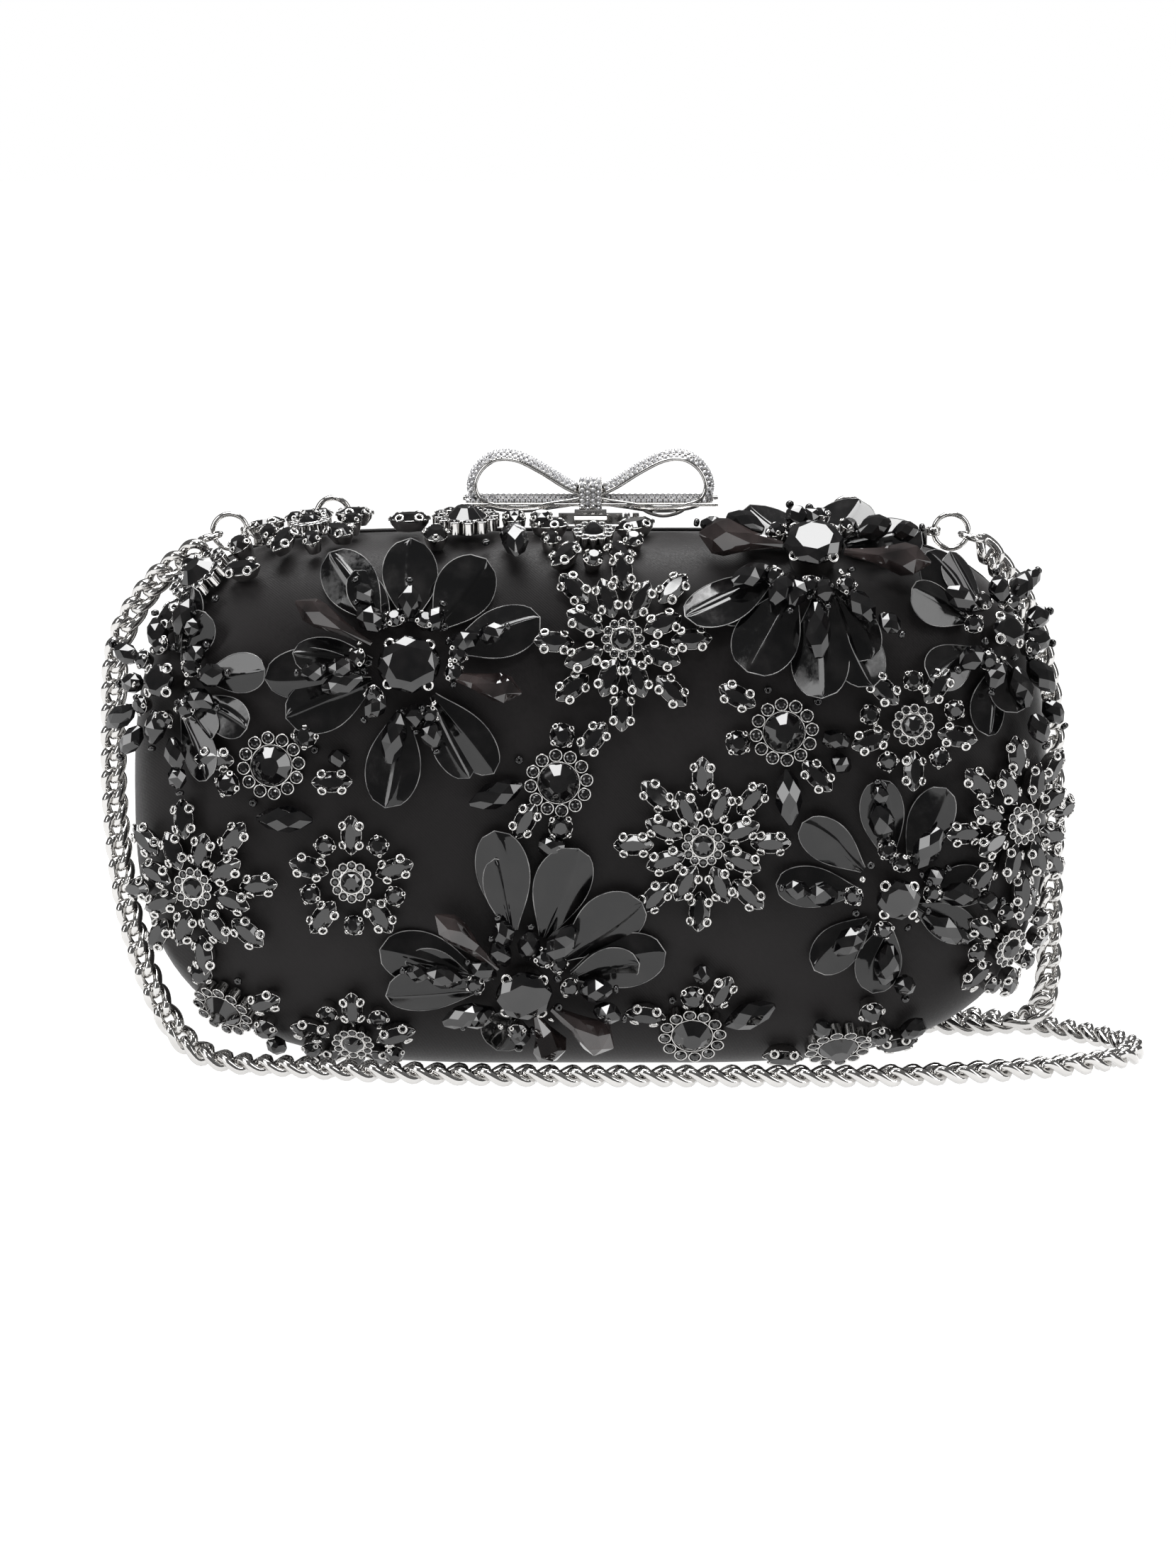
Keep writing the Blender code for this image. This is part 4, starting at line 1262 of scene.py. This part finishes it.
def chaton(radius, claws=0, rim=True, height=0.62, depth=0.0):
    """A round cut stone, with a wire rim, or claws, and a cup below it."""
    shape = small_stone(radius, radius * height, "jet", 8 if radius > 1.2 * MM else 6)
    if depth:
        shape.put(setting(circle(radius * 0.97), radius * height * 0.05, depth, 0.1 * MM))
    if rim:
        wire = min(0.28 * MM, radius * 0.13)
        shape.put(Shape().add(*torus(radius, wire, 24, 6), "silver"), moved(z=radius * height * 0.12))
    claw = Shape().add(*torus(radius * 0.20, radius * 0.095, 12, 6), "silver")
    for i in range(claws):
        place = spun(360 * (i + 0.5) / claws) @ moved(x=radius * 0.94, z=radius * height * 0.5)
        shape.put(claw, place @ spun(48, "Y"))
    return shape


def centre_stone(radius):
    """A large octagonal cut stone with big facets, a little wider than it is high."""
    cuts = ((0.90, -0.15, 0.0), (1.0, 0.12, 0.0), (0.96, 0.28, 0.0), (0.84, 0.50, 0.5), (0.62, 0.68, 0.0))
    rings = [ring_of(radius * reach, radius * z * 0.62, 8, phase, 0.92) for reach, z, phase in cuts]
    return facets(rings, "jet")


def beaded_rosette():
    """A big chaton in a ring of twelve small stones in wire bezels."""
    big, small = 4.4 * MM, 1.16 * MM
    cuts = ((0.94, 0.0), (1.0, 0.14), (0.46, 0.62))
    rings = [ring_of(big * reach, big * z, 9) for reach, z in cuts]
    shape = Shape().put(facets(rings, "jet"), moved(z=0.9 * MM))
    shape.put(setting(circle(big * 1.03, 36), 1.4 * MM, 3.6 * MM, 0.18 * MM))
    stone = chaton(small, rim=False)
    bezel = Shape().add(*torus(small * 1.12, 0.17 * MM, 22, 6), "silver")
    wall = [[(x, y, z) for x, y in circle(small * 1.12, 22)] for z in (-2.6 * MM, 0.0)]
    bezel.add(*band(wall), "silver")
    for i in range(12):
        place = spun(30 * i + 6) @ moved(x=6.0 * MM, z=1.35 * MM)
        shape.put(stone, place)
        shape.put(bezel, place @ moved(z=0.25 * MM))
    return shape


def jewel_ring(stone_radius, count, ring_radius, small_radius):
    """A chaton with a ring of small stones in fine settings."""
    shape = Shape()
    shape.put(chaton(stone_radius, depth=2.6 * MM), moved(z=1.4 * MM))
    small = chaton(small_radius, rim=False, depth=1.8 * MM)
    setting = Shape().add(*torus(small_radius * 1.08, 0.17 * MM, 16, 6), "silver")
    for i in range(count):
        place = spun(360 * i / count) @ moved(x=ring_radius, z=1.35 * MM)
        shape.put(small, place)
        shape.put(setting, place @ moved(z=0.3 * MM))
    return shape


def pointed_oval(length, width, count):
    """The outline of a navette as (x, y) pairs."""
    points = []
    for i in range(count):
        a = TURN * i / count
        s = math.sin(a)
        points.append((length / 2 * math.cos(a), width / 2 * math.copysign(abs(s) ** 1.35, s)))
    return points


def navette(length=8.8 * MM, width=4.5 * MM):
    """A boat-shaped stone in a sew-on setting with two wire eyes on each side."""
    outline = pointed_oval(length, width, 12)
    top = 1.3 * MM
    rows = []
    for along, across, rise in ((0.9, 0.85, -0.5), (1.0, 1.0, 0.0), (0.98, 0.95, 0.3), (0.64, 0.50, 1.35)):
        rows.append((0.0, [(x * along, y * across, top + rise * MM) for x, y in outline]))
    shape = facets(rows, "jet").put(setting(pointed_oval(length, width, 22), top, 2.6 * MM, 0.09 * MM))
    eye = Shape().add(*torus(0.84 * MM, 0.34 * MM, 14, 6), "silver")
    for x in (-1, 1):
        for y in (-1, 1):
            place = moved(x * length * 0.245, y * width * 0.41, top + 0.62 * MM)
            shape.put(eye, place @ spun(-y * 34, "X") @ spun(x * 12, "Y"))
        hook = Shape().add(*torus(0.62 * MM, 0.17 * MM, 8, 5, start=-0.5, share=0.42), "silver")
        place = moved(x * (length / 2 - 0.55 * MM), 0, top)
        shape.put(hook, place @ spun(0 if x > 0 else 180) @ spun(90, "X"))
    return shape


def cut_bead(length, radius, sides=6, rows=3, blunt=0.3):
    """A fire-polished bead along X, of diamond facets."""
    rings = []
    for i in range(rows + 2):
        t = i / (rows + 1)
        reach = radius * (blunt + (1 - blunt) * math.sin(math.pi * t) ** 0.8)
        rings.append(ring_of(reach, length * (t - 0.5), sides, 0.5 * (i % 2)))
    return Shape().put(facets(rings, "jet"), spun(90, "Y"))


def drop(length, radius):
    """A long cut drop that starts thin at X = 0 and ends in a blunt point."""
    cuts = ((0, 0.18, 0.0), (0.38, 0.52, 0.5), (0.68, 1.0, 0.0), (0.82, 0.94, 0.5), (1.0, 0.10, 0.0))
    rings = [ring_of(radius * reach, length * t, 6, phase, 0.8) for t, reach, phase in cuts]
    return Shape().put(facets(rings, "smoke"), spun(90, "Y"))


def seed(radius=0.95 * MM, finish="jet"):
    """A small round bead with a hole."""
    return Shape().add(*torus(radius * 0.58, radius * 0.42, 12, 8, 1.4), finish)


def petal(length, width, fold, crease):
    """A sequin petal from X = 0 outward: two flat wings that meet at a raised crease."""
    along, across = 18, 7
    rows_top, rows_low = [], []
    for i in range(along + 1):
        t = i / along
        if t < PETAL_WIDEST:
            half = width / 2 * (0.16 + 0.84 * math.sin(math.pi / 2 * t / PETAL_WIDEST) ** 1.15)
        else:
            half = width / 2 * math.sqrt(max(0.0, 1 - ((t - PETAL_WIDEST) / (1 - PETAL_WIDEST)) ** 2))
        half = max(half, 0.02 * MM)
        middle = crease * width / 2 * min(1.0, t * 2) * (half / (width / 2))
        top, low = [], []
        places = [-half + (middle + half) * k / across for k in range(across)]
        places += [middle + (half - middle) * k / across for k in range(across + 1)]
        for y in places:
            z = -fold * abs(y - middle)
            ridge = 0.22 * MM * math.exp(-(((y - middle) / (0.35 * MM)) ** 2)) * min(1.0, half / (1.2 * MM))
            top.append(Vector((length * t, y, z + ridge)))
            low.append(Vector((length * t, y, z - PETAL_THICKNESS)))
        rows_top.append(top)
        rows_low.append(low)
    shape = Shape()
    shape.add(*band(rows_top, False, False), "sequin")
    points, faces = band(rows_low, False, False)
    shape.add(points, [tuple(reversed(face)) for face in faces], "sequin")
    shape.add(*band([rim(rows_top), rim(rows_low)]), "sequin", False)
    # the rim's wire takes the petal-edge finish, whose light grey colour is a painted highlight
    edge = [row[0] for row in rows_top] + [row[-1] for row in reversed(rows_top)]
    return shape.add(*sweep(edge, circle(0.11 * MM, 5), [UP] * len(edge)), "edge")


# Flowers


class Flower:
    """A flower on the front: its seat on the satin and the mesh that gathers its stones."""

    def __init__(self, name, x, back, z, flat=0.2):
        self.name = name
        self.flat = flat
        self.centre = settle(Vector((x * MM, PARTING_Y + back * MM, z * MM)))
        self.normal = slope(self.centre).normalized()
        self.sideways = (RIGHT - self.normal * RIGHT.dot(self.normal)).normalized()
        self.upward = self.normal.cross(self.sideways)
        self.shape = Shape()
        self.chance = random.Random(sum(ord(letter) * (i + 1) for i, letter in enumerate(name)))

    def direction(self, degrees):
        angle = math.radians(degrees)
        return self.sideways * math.cos(angle) + self.upward * math.sin(angle)

    def seat(self, degrees, reach, lift=0.0, spin=0.0, flat=0.35):
        """A place on the satin at an angle and a distance, with X outward and Z off the satin."""
        heading = self.direction(degrees)
        point, normal = self.centre, self.normal
        if reach > 0:
            on_satin = walk(self.centre, heading, reach)
            point = on_satin.lerp(self.centre + heading * reach, flat)
            normal = (slope(on_satin).normalized() + self.normal * 0.8).normalized()
        return basis(heading - normal * heading.dot(normal), normal, point + normal * lift) @ spun(spin)

    def span(self, degrees, start, end, low, high):
        """A place at the start of a stretch outward over the satin, with X along it, and its length."""
        flat = 0.2 + (self.flat - 0.2) * max(0.0, math.sin(math.radians(degrees)))
        first = self.seat(degrees, start, low, 0.0, flat)
        last = self.seat(degrees, end, high, 0.0, flat)
        along = last.translation - first.translation
        normal = (first.col[2].to_3d() + last.col[2].to_3d()).normalized()
        return basis(along, normal, first.translation), along.length

    def put(self, part, matrix):
        self.shape.put(part, matrix, floor=0.15 * MM)

    def sew(self, part, degrees, reach, lift, spin=0.0, slack=9.0):
        """Put a part at an angle and a distance in millimetres, a little askew as hand sewing leaves it."""
        loose = [self.chance.uniform(-1, 1) for _ in range(5)]
        distance = (reach + 0.4 * loose[1]) * MM
        place = self.seat(degrees + 2.5 * loose[0], distance, lift * MM, spin + 5 * loose[2])
        self.put(part, place @ spun(slack * loose[3], "X") @ spun(slack * loose[4], "Y"))

    def finish(self):
        obj = self.shape.make(f"{self.name}_stones")
        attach(obj, "front_half")
        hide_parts(self.name)


def snowflake(name, x, back, z, turn):
    """Sixteen navettes in two rings round a jewelled middle."""
    flower = Flower(name, x, back, z)
    flower.put(jewel_ring(2.45 * MM, 12, 3.6 * MM, 0.86 * MM), flower.seat(turn, 0, 1.4 * MM))
    for i in range(8):
        angle = turn + 360 * i / 8
        flower.sew(navette(), angle + 180 / 8, 9.0, 1.9)
        flower.sew(navette(), angle, 14.8, 1.2)
    flower.finish()


def star(name, x, back, z, turn=90.0, lift=0.6, bare=None):
    """Five navettes and five round stones round a jewelled middle.

    Bare is the sine of the angle from which the side towards the clasp is left without stones.
    """
    flower = Flower(name, x, back, z)
    flower.put(jewel_ring(2.5 * MM, 12, 3.6 * MM, 0.86 * MM), flower.seat(turn, 0, (lift + 0.5) * MM))
    round_stone = chaton(2.2 * MM, claws=4, rim=False, height=0.8, depth=3.0 * MM)
    for i in range(5):
        angle = turn + 72 * i
        for part, way, reach, rise in ((navette(), angle, 9.9, 0.7), (round_stone, angle + 36, 9.3, 1.7)):
            if bare is None or math.sin(math.radians(way)) < bare:
                flower.sew(part, way, reach, lift + rise)
    flower.finish()


def rosette(name, x, back, z, extras, lift=0.6):
    """A beaded rosette with single stones beside it."""
    flower = Flower(name, x, back, z)
    flower.put(beaded_rosette(), flower.seat(0, 0, (lift + 0.4) * MM))
    kinds = {
        "navette": (navette(), 0.6),
        "round": (chaton(2.7 * MM, claws=4, rim=False, height=0.8, depth=3.0 * MM), 1.5),
        "bead": (cut_bead(12 * MM, 3.0 * MM, rows=4, blunt=0.2), 2.3),
        "small": (cut_bead(4.6 * MM, 2.2 * MM), 1.6),
        "barrel": (cut_bead(5.5 * MM, 2.3 * MM, 8, 3, blunt=0.6), 1.7),
        "seed": (seed(), 0.2),
    }
    for kind, angle, reach, spin in extras:
        part, rise = kinds[kind]
        flower.sew(part, angle, reach, 0.6 * lift + rise + 0.2, spin, 5)
    flower.finish()


def petal_flower(name, x, back, z, rise, stone, petals, beads, drops=(), chatons=(), seeds=14, flat=0.2):
    """Big sequin petals, cut drops and beads fanned round a large stone.

    Petals are (angle, tip, length, width, lean), beads (angle, middle, length, radius, tilt), drops
    (angle, tip, length, radius) and chatons (angle, reach), in degrees and millimetres.
    """
    flower = Flower(name, x, back, z, flat)
    chance = flower.chance
    for angle, tip, length, width, lean in petals:
        fold, crease = chance.uniform(0.16, 0.30), chance.uniform(-0.30, 0.30)
        high = 3.2 + chance.uniform(-0.8, 1.4)
        place, reach = flower.span(angle, (tip - length) * MM, tip * MM, (rise - 4.0) * MM, high * MM)
        flower.put(petal(reach, width * MM, fold, crease), place @ spun(lean, "X"))
    for angle, tip, length, radius in drops:
        place, reach = flower.span(angle, (tip - length) * MM, tip * MM, (rise - 1.5) * MM, (rise - 0.5) * MM)
        flower.put(drop(reach, radius * MM), place @ spun(chance.uniform(0, 60), "X"))
    for angle, middle, length, radius, tilt in beads:
        part = cut_bead(length * MM, radius * MM, chance.choice((6, 6, 7)), 3 if length < 9 else 4)
        start, end, low = middle - length / 2, middle + length / 2, rise - 1.2
        place, reach = flower.span(angle, start * MM, end * MM, low * MM, (low + tilt) * MM)
        flower.put(part, place @ moved(x=reach / 2) @ spun(chance.uniform(0, 60), "X"))
        if length < 7.5:
            flower.put(seed(), place @ moved(x=reach + 0.9 * MM) @ spun(90, "Y"))
    claw = chaton(2.1 * MM, claws=4, rim=False, height=0.8, depth=2.0 * MM)
    for angle, reach in chatons:
        place = flower.seat(angle, reach * MM, (rise - 1.6 + chance.uniform(-0.4, 0.6)) * MM)
        flower.put(claw, place @ spun(chance.uniform(10, 35), "Y"))
    bead = seed()
    bright = seed(0.8 * MM, "silver")
    for i in range(seeds):
        angle = 360 * i / seeds + chance.uniform(-9, 9)
        reach = (stone + chance.uniform(1.6, 4.6)) * MM
        place = flower.seat(angle, reach, (rise - 1.0 + chance.uniform(-1.5, 1.2)) * MM)
        turned = place @ spun(chance.uniform(0, 180), "X") @ spun(chance.uniform(0, 180), "Y")
        flower.put(bright if i % 3 == 0 else bead, turned)
    middle = flower.seat(8, 0, rise * MM)
    flower.put(centre_stone(stone * MM), middle)
    cup = [
        [(x, 0.88 * y, up * MM) for x, y in circle(stone * grow * MM, 24)]
        for grow, up in ((0.7, -rise + 0.6), (0.9, -1.4), (0.98, -0.1))
    ]
    flower.put(Shape().add(*band(cup), "silver"), middle)
    eye = Shape().add(*torus(0.95 * MM, 0.32 * MM, 16, 8), "silver")
    for i in range(4):
        flower.put(eye, middle @ spun(90 * i + 35) @ moved(x=stone * 0.90 * MM, z=0.8 * MM) @ spun(30, "Y"))
    flower.finish()


def flowers():
    """All twenty-four flowers."""
    petal_flower(
        "petal_flower_upper_left", -38.5, -37.1, 91.5, 7.4, 6.8,
        petals=(
            (126, 29.5, 18, 11.5, -10), (121, 23.0, 14, 8, 12), (90, 28.0, 19, 12, 6),
            (54, 27.5, 18, 12.5, 10),
            (20, 29.5, 20, 11, -8), (-52, 29.0, 21, 9.5, 10), (-62, 27.0, 18, 8.5, -12),
            (-100, 30.7, 21, 12, 8),
            (-157, 28.5, 20, 12, 8), (-175, 31.0, 22, 11, -10), (174, 25.0, 17, 8.5, 6),
        ),
        beads=(
            (90, 12.5, 7, 2.7, 1), (22, 12.5, 6.5, 2.4, 0), (20, 18.5, 5.5, 2.3, 1), (132, 12.5, 7, 2.8, 0),
            (124, 17.0, 5, 2.2, 1), (-102, 15.5, 11, 2.7, 0), (-84, 10.5, 5, 2.3, 0), (-165, 14.5, 9, 2.5, 0),
            (-178, 14.0, 6, 2.4, 1), (-176, 20.0, 5.5, 2.3, 1), (-72, 15.0, 6, 2.4, 1),
            (60, 10.5, 5.5, 2.4, 0),
            (-130, 11.0, 6, 2.4, 0),
        ),
        drops=((-14, 24.5, 17, 3.6), (152, 27.0, 18, 3.7)),
        chatons=((12, 10.5), (-10, 9.5), (-68, 11.0), (172, 11.0), (70, 9.4), (108, 9.8), (-140, 9.5)),
    )
    petal_flower(
        "petal_flower_upper_right", 47.7, -27.0, 116.4, 7.2, 6.6,
        petals=(
            (208, 31.0, 22, 11.5, 10), (214, 25.0, 16, 9, -6), (242, 30.0, 21, 14, -6),
            (-87, 32.0, 22, 12.5, 8),
            (-66, 31.5, 21, 12.5, -8), (-62, 26.0, 17, 10, 8), (24, 26.0, 18, 13, 10),
            (58, 20.0, 15, 13.5, -6),
            (128, 21.0, 17, 14.5, 6),
        ),
        beads=(
            (158, 15.5, 8.5, 2.9, 1), (165, 22.0, 5.5, 2.2, 0), (112, 8.8, 5.5, 2.6, 0),
            (92, 8.5, 5, 2.3, -1),
            (206, 15.0, 9, 2.7, 1), (234, 11.5, 8, 3.0, 0), (-88, 18.0, 12, 2.9, 0), (-52, 16.0, 8, 2.7, 0),
            (-46, 22.5, 5.5, 2.3, 1), (22, 14.0, 7.5, 2.9, 1), (14, 20.0, 5.5, 2.4, 1),
            (-110, 10.5, 7, 2.6, 0),
            (-78, 9.5, 6, 2.5, 0),
        ),
        drops=((173, 24.5, 18, 4.3), (-6, 24.5, 18, 4.3)),
        chatons=((218, 10.5), (-50, 10.5), (78, 9.5), (36, 9.5), (148, 9.0), (-95, 8.5)), flat=0.75,
    )
    petal_flower(
        "petal_flower_lower_left", -14.3, -35.3, 20.4, 7.4, 6.2,
        petals=(
            (100, 35.0, 22, 11.7, -8), (102, 29.0, 16, 7.5, 4), (69, 33.0, 21, 12.5, 10),
            (37, 31.8, 21, 13, 8),
            (14, 31.5, 21, 12, -8), (12, 25.5, 15, 10, 8), (165, 32.0, 22, 12, 8), (168, 26.0, 14, 8, -6),
            (183, 29.7, 20, 11, -8), (-112, 16.0, 10, 10, 4),
        ),
        beads=(
            (108, 14.0, 6, 2.6, 1), (120, 10.0, 6, 2.5, 0), (54, 13.5, 10, 3.0, 1), (2, 15.5, 7, 2.9, 0),
            (-14, 18.5, 6, 2.5, 1), (168, 17.5, 8, 2.7, 0), (169, 23.0, 5, 2.1, 0), (202, 14.0, 9.5, 2.6, 0),
            (84, 10.5, 6.5, 2.6, 0), (150, 10.0, 6, 2.4, 0), (-150, 11.0, 7, 2.5, 0), (-95, 10.0, 6, 2.5, -1),
        ),
        drops=((137, 25.6, 18, 3.7), (-33, 23.0, 16, 4.4), (-66, 17.0, 11, 4.6)),
        chatons=((170, 10.5), (5, 9.7), (40, 9.5), (62, 8.8), (-100, 8.6)),
    )
    petal_flower(
        "petal_flower_lower_right", 65.8, -36.7, 40.9, 6.4, 4.9,
        petals=(
            (99, 25.8, 18, 9.5, 6), (66, 25.5, 18, 9.5, -8), (141, 26.0, 17, 9.5, -8),
            (173, 26.0, 18, 8.8, 8),
            (223, 23.6, 16, 9.5, 8), (-103, 21.5, 15, 10, 6), (6, 20.5, 14, 9, -6), (-30, 20.0, 15, 8.5, 8),
        ),
        beads=(
            (102, 17.0, 8, 2.9, 1), (100, 22.5, 4.5, 2.0, 0), (60, 12.5, 10, 3.0, 1),
            (176, 16.0, 6.5, 2.8, 0),
            (174, 21.5, 5.0, 2.3, 0), (222, 13.5, 8.5, 2.8, 0), (-98, 14.5, 9, 2.9, 0),
            (-84, 19.5, 5, 2.4, -1),
            (2, 13.5, 8.5, 2.9, 0), (-4, 19.5, 4.5, 2.2, 0), (-34, 12.5, 12, 2.7, 0), (30, 9.0, 5, 2.3, 0),
        ),
        chatons=((176, 9.3), (6, 7.4), (102, 10.6), (-112, 7.3), (84, 7.6)),
    )
    petal_flower(
        "petal_flower_left_side", -93.0, -28.6, 86.9, 5.6, 4.0,
        petals=(
            (4, 23.0, 15, 8.6, 8), (-30, 21.5, 14, 8.5, -8), (-68, 23.0, 16, 9, 8), (76, 20.5, 14, 8.5, -6),
            (55, 17.0, 12, 8, 6), (-50, 16.0, 11, 8, 5),
        ),
        beads=(
            (4, 11.5, 6.5, 2.7, 1), (72, 14.0, 8, 2.6, 0), (-26, 9.5, 7, 2.6, 0), (-82, 15.5, 7, 2.5, 0),
            (-84, 20.5, 5, 2.2, 0),
            (100, 10.0, 7, 2.5, 1), (150, 12.5, 7, 2.4, 3), (212, 13.0, 8, 2.5, 3), (236, 14.5, 7, 2.4, 2),
            (35, 9.0, 5.5, 2.3, 0), (180, 8.5, 6, 2.4, 1), (-104, 10.0, 7, 2.5, 0),
        ),
        chatons=((20, 7.4), (-50, 7.8), (-90, 8.0), (95, 7.4), (140, 7.4), (-140, 7.4)), seeds=12,
    )
    petal_flower(
        "petal_flower_right_side", 90.1, -27.3, 97.8, 5.6, 4.0,
        petals=(
            (135, 23.0, 16, 10, -8), (122, 20.0, 13, 9, 6), (161, 22.0, 15, 10, 8), (216, 19.5, 13, 10, 8),
            (-92, 22.0, 15, 9, -6), (-75, 17.0, 12, 9, 6),
        ),
        beads=(
            (150, 11.5, 8, 2.7, 0), (222, 9.5, 7, 2.7, 0), (62, 12.5, 7.5, 2.6, 3), (54, 19.5, 6, 2.2, 3),
            (28, 11.0, 7, 2.6, 2),
            (0, 9.0, 7, 2.7, 1), (-38, 12.5, 9, 2.7, 1), (-48, 20.0, 6, 2.4, 2), (-68, 12.0, 9, 2.7, 1),
            (-62, 21.5, 6.5, 2.5, 1),
            (-100, 9.0, 7, 2.6, 0), (95, 9.0, 6, 2.5, 1),
        ),
        chatons=((175, 7.4), (130, 7.6), (-120, 7.6), (70, 7.2), (-20, 7.2)), seeds=12,
    )
    snowflake("snowflake_top", 6.9, -30.7, 96.4, 0)
    snowflake("snowflake_centre", 24.1, -33.8, 52.2, 0)
    snowflake("snowflake_left", -86.1, -29.1, 41.9, 8)
    snowflake("snowflake_right", 94.3, -25.7, 55.4, 4)
    star("star_left", -51.2, -33.4, 44.2, 90)
    star("star_right", 69.0, -32.3, 78.0, 56)
    star("star_top_left", -60.7, -8.3, 118.4, 95, 2.2)
    star("star_top", 0.6, -13.5, 118.7, 90, 0.6, 0.5)
    star("star_bottom_left", -51.5, -22.0, 8.0, 90)
    star("star_lower_right", 92.0, -21.7, 27.2, 60)
    rosette("rosette_left", -68.4, -32.8, 69.3, (
        ("navette", 175, 12.6, 5), ("round", 40, 10.0, 0), ("navette", -15, 13.0, 15),
        ("bead", -76, 12.0, 78),
        ("small", 8, 14.5, 0), ("round", -155, 10.5, 0), ("seed", 22, 9.5, 0), ("seed", -120, 9.2, 0),
    ))
    rosette("rosette_centre", -6.8, -33.8, 65.8, (
        ("round", 86, 10.3, 0), ("navette", 51, 11.8, 6), ("navette", -134, 11.2, 8), ("round", -88, 9.9, 0),
        ("bead", 188, 14.0, 10), ("barrel", -96, 14.2, 90), ("seed", 150, 9.4, 0),
    ))
    rosette("rosette_right", 41.3, -33.5, 76.7, (
        ("navette", 142, 12.5, 5), ("round", 192, 10.2, 0), ("navette", -53, 11.8, 10),
        ("bead", -87, 14.0, 0),
        ("barrel", -8, 11.5, 0), ("small", -28, 14.0, 0), ("seed", 110, 9.4, 0), ("seed", 40, 9.4, 0),
    ))
    rosette("rosette_top", -27.0, -9.0, 120.0, (
        ("navette", 178, 12.4, 0), ("small", -40, 12.0, -20), ("round", 5, 10.5, 0), ("round", 0, 16.0, 0),
        ("round", -128, 9.8, 0), ("bead", -42, 14.5, -40), ("seed", -60, 9.0, 0),
    ), 2.6)
    rosette("rosette_upper_left", -86.1, -13.7, 110.6, (
        ("round", 20, 10.2, 0), ("navette", -30, 12.0, 10), ("round", 110, 9.8, 0),
        ("navette", -140, 11.5, 0),
        ("barrel", -110, 10.5, 90), ("seed", -70, 9.4, 0), ("small", -100, 15.0, 0),
    ), 1.0)
    rosette("rosette_lower_left", -80.4, -20.4, 13.0, (
        ("round", -10, 10.3, 0), ("navette", 35, 12.0, 0), ("round", 120, 10.2, 0), ("small", -30, 13.5, 0),
        ("seed", 75, 9.4, 0),
    ))
    rosette("rosette_bottom", 22.1, -23.5, 10.0, (
        ("round", 92, 10.2, 0), ("navette", 150, 11.5, 20), ("bead", 25, 13.5, 0), ("small", 85, 15.5, 0),
        ("navette", 60, 12.5, 0), ("seed", 120, 9.4, 0),
    ))
    rosette("rosette_bottom_right", 53.8, -18.3, 5.3, (
        ("round", 35, 10.4, 0), ("navette", 175, 12.0, 0), ("round", 60, 14.5, 0), ("navette", 5, 13.0, 10),
        ("small", 110, 10.5, 0), ("barrel", 20, 17.0, 0),
    ))


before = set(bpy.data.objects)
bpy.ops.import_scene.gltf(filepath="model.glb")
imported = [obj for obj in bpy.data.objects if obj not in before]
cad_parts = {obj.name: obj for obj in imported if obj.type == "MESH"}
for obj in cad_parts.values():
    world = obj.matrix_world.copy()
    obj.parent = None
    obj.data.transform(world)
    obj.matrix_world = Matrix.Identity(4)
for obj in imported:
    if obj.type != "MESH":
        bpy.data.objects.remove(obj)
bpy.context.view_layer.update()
FINISHES = {
    "satin": satin(), "lining": lining(), "board": board(), "silver": silver(), "steel": steel(),
    "jet": jet(), "sequin": sequin(), "edge": petal_rim_painted_highlight(), "smoke": smoke(), "crystal": crystal(),
}
camera()
studio()
strap()
halves()
bow()
hardware()
flowers()
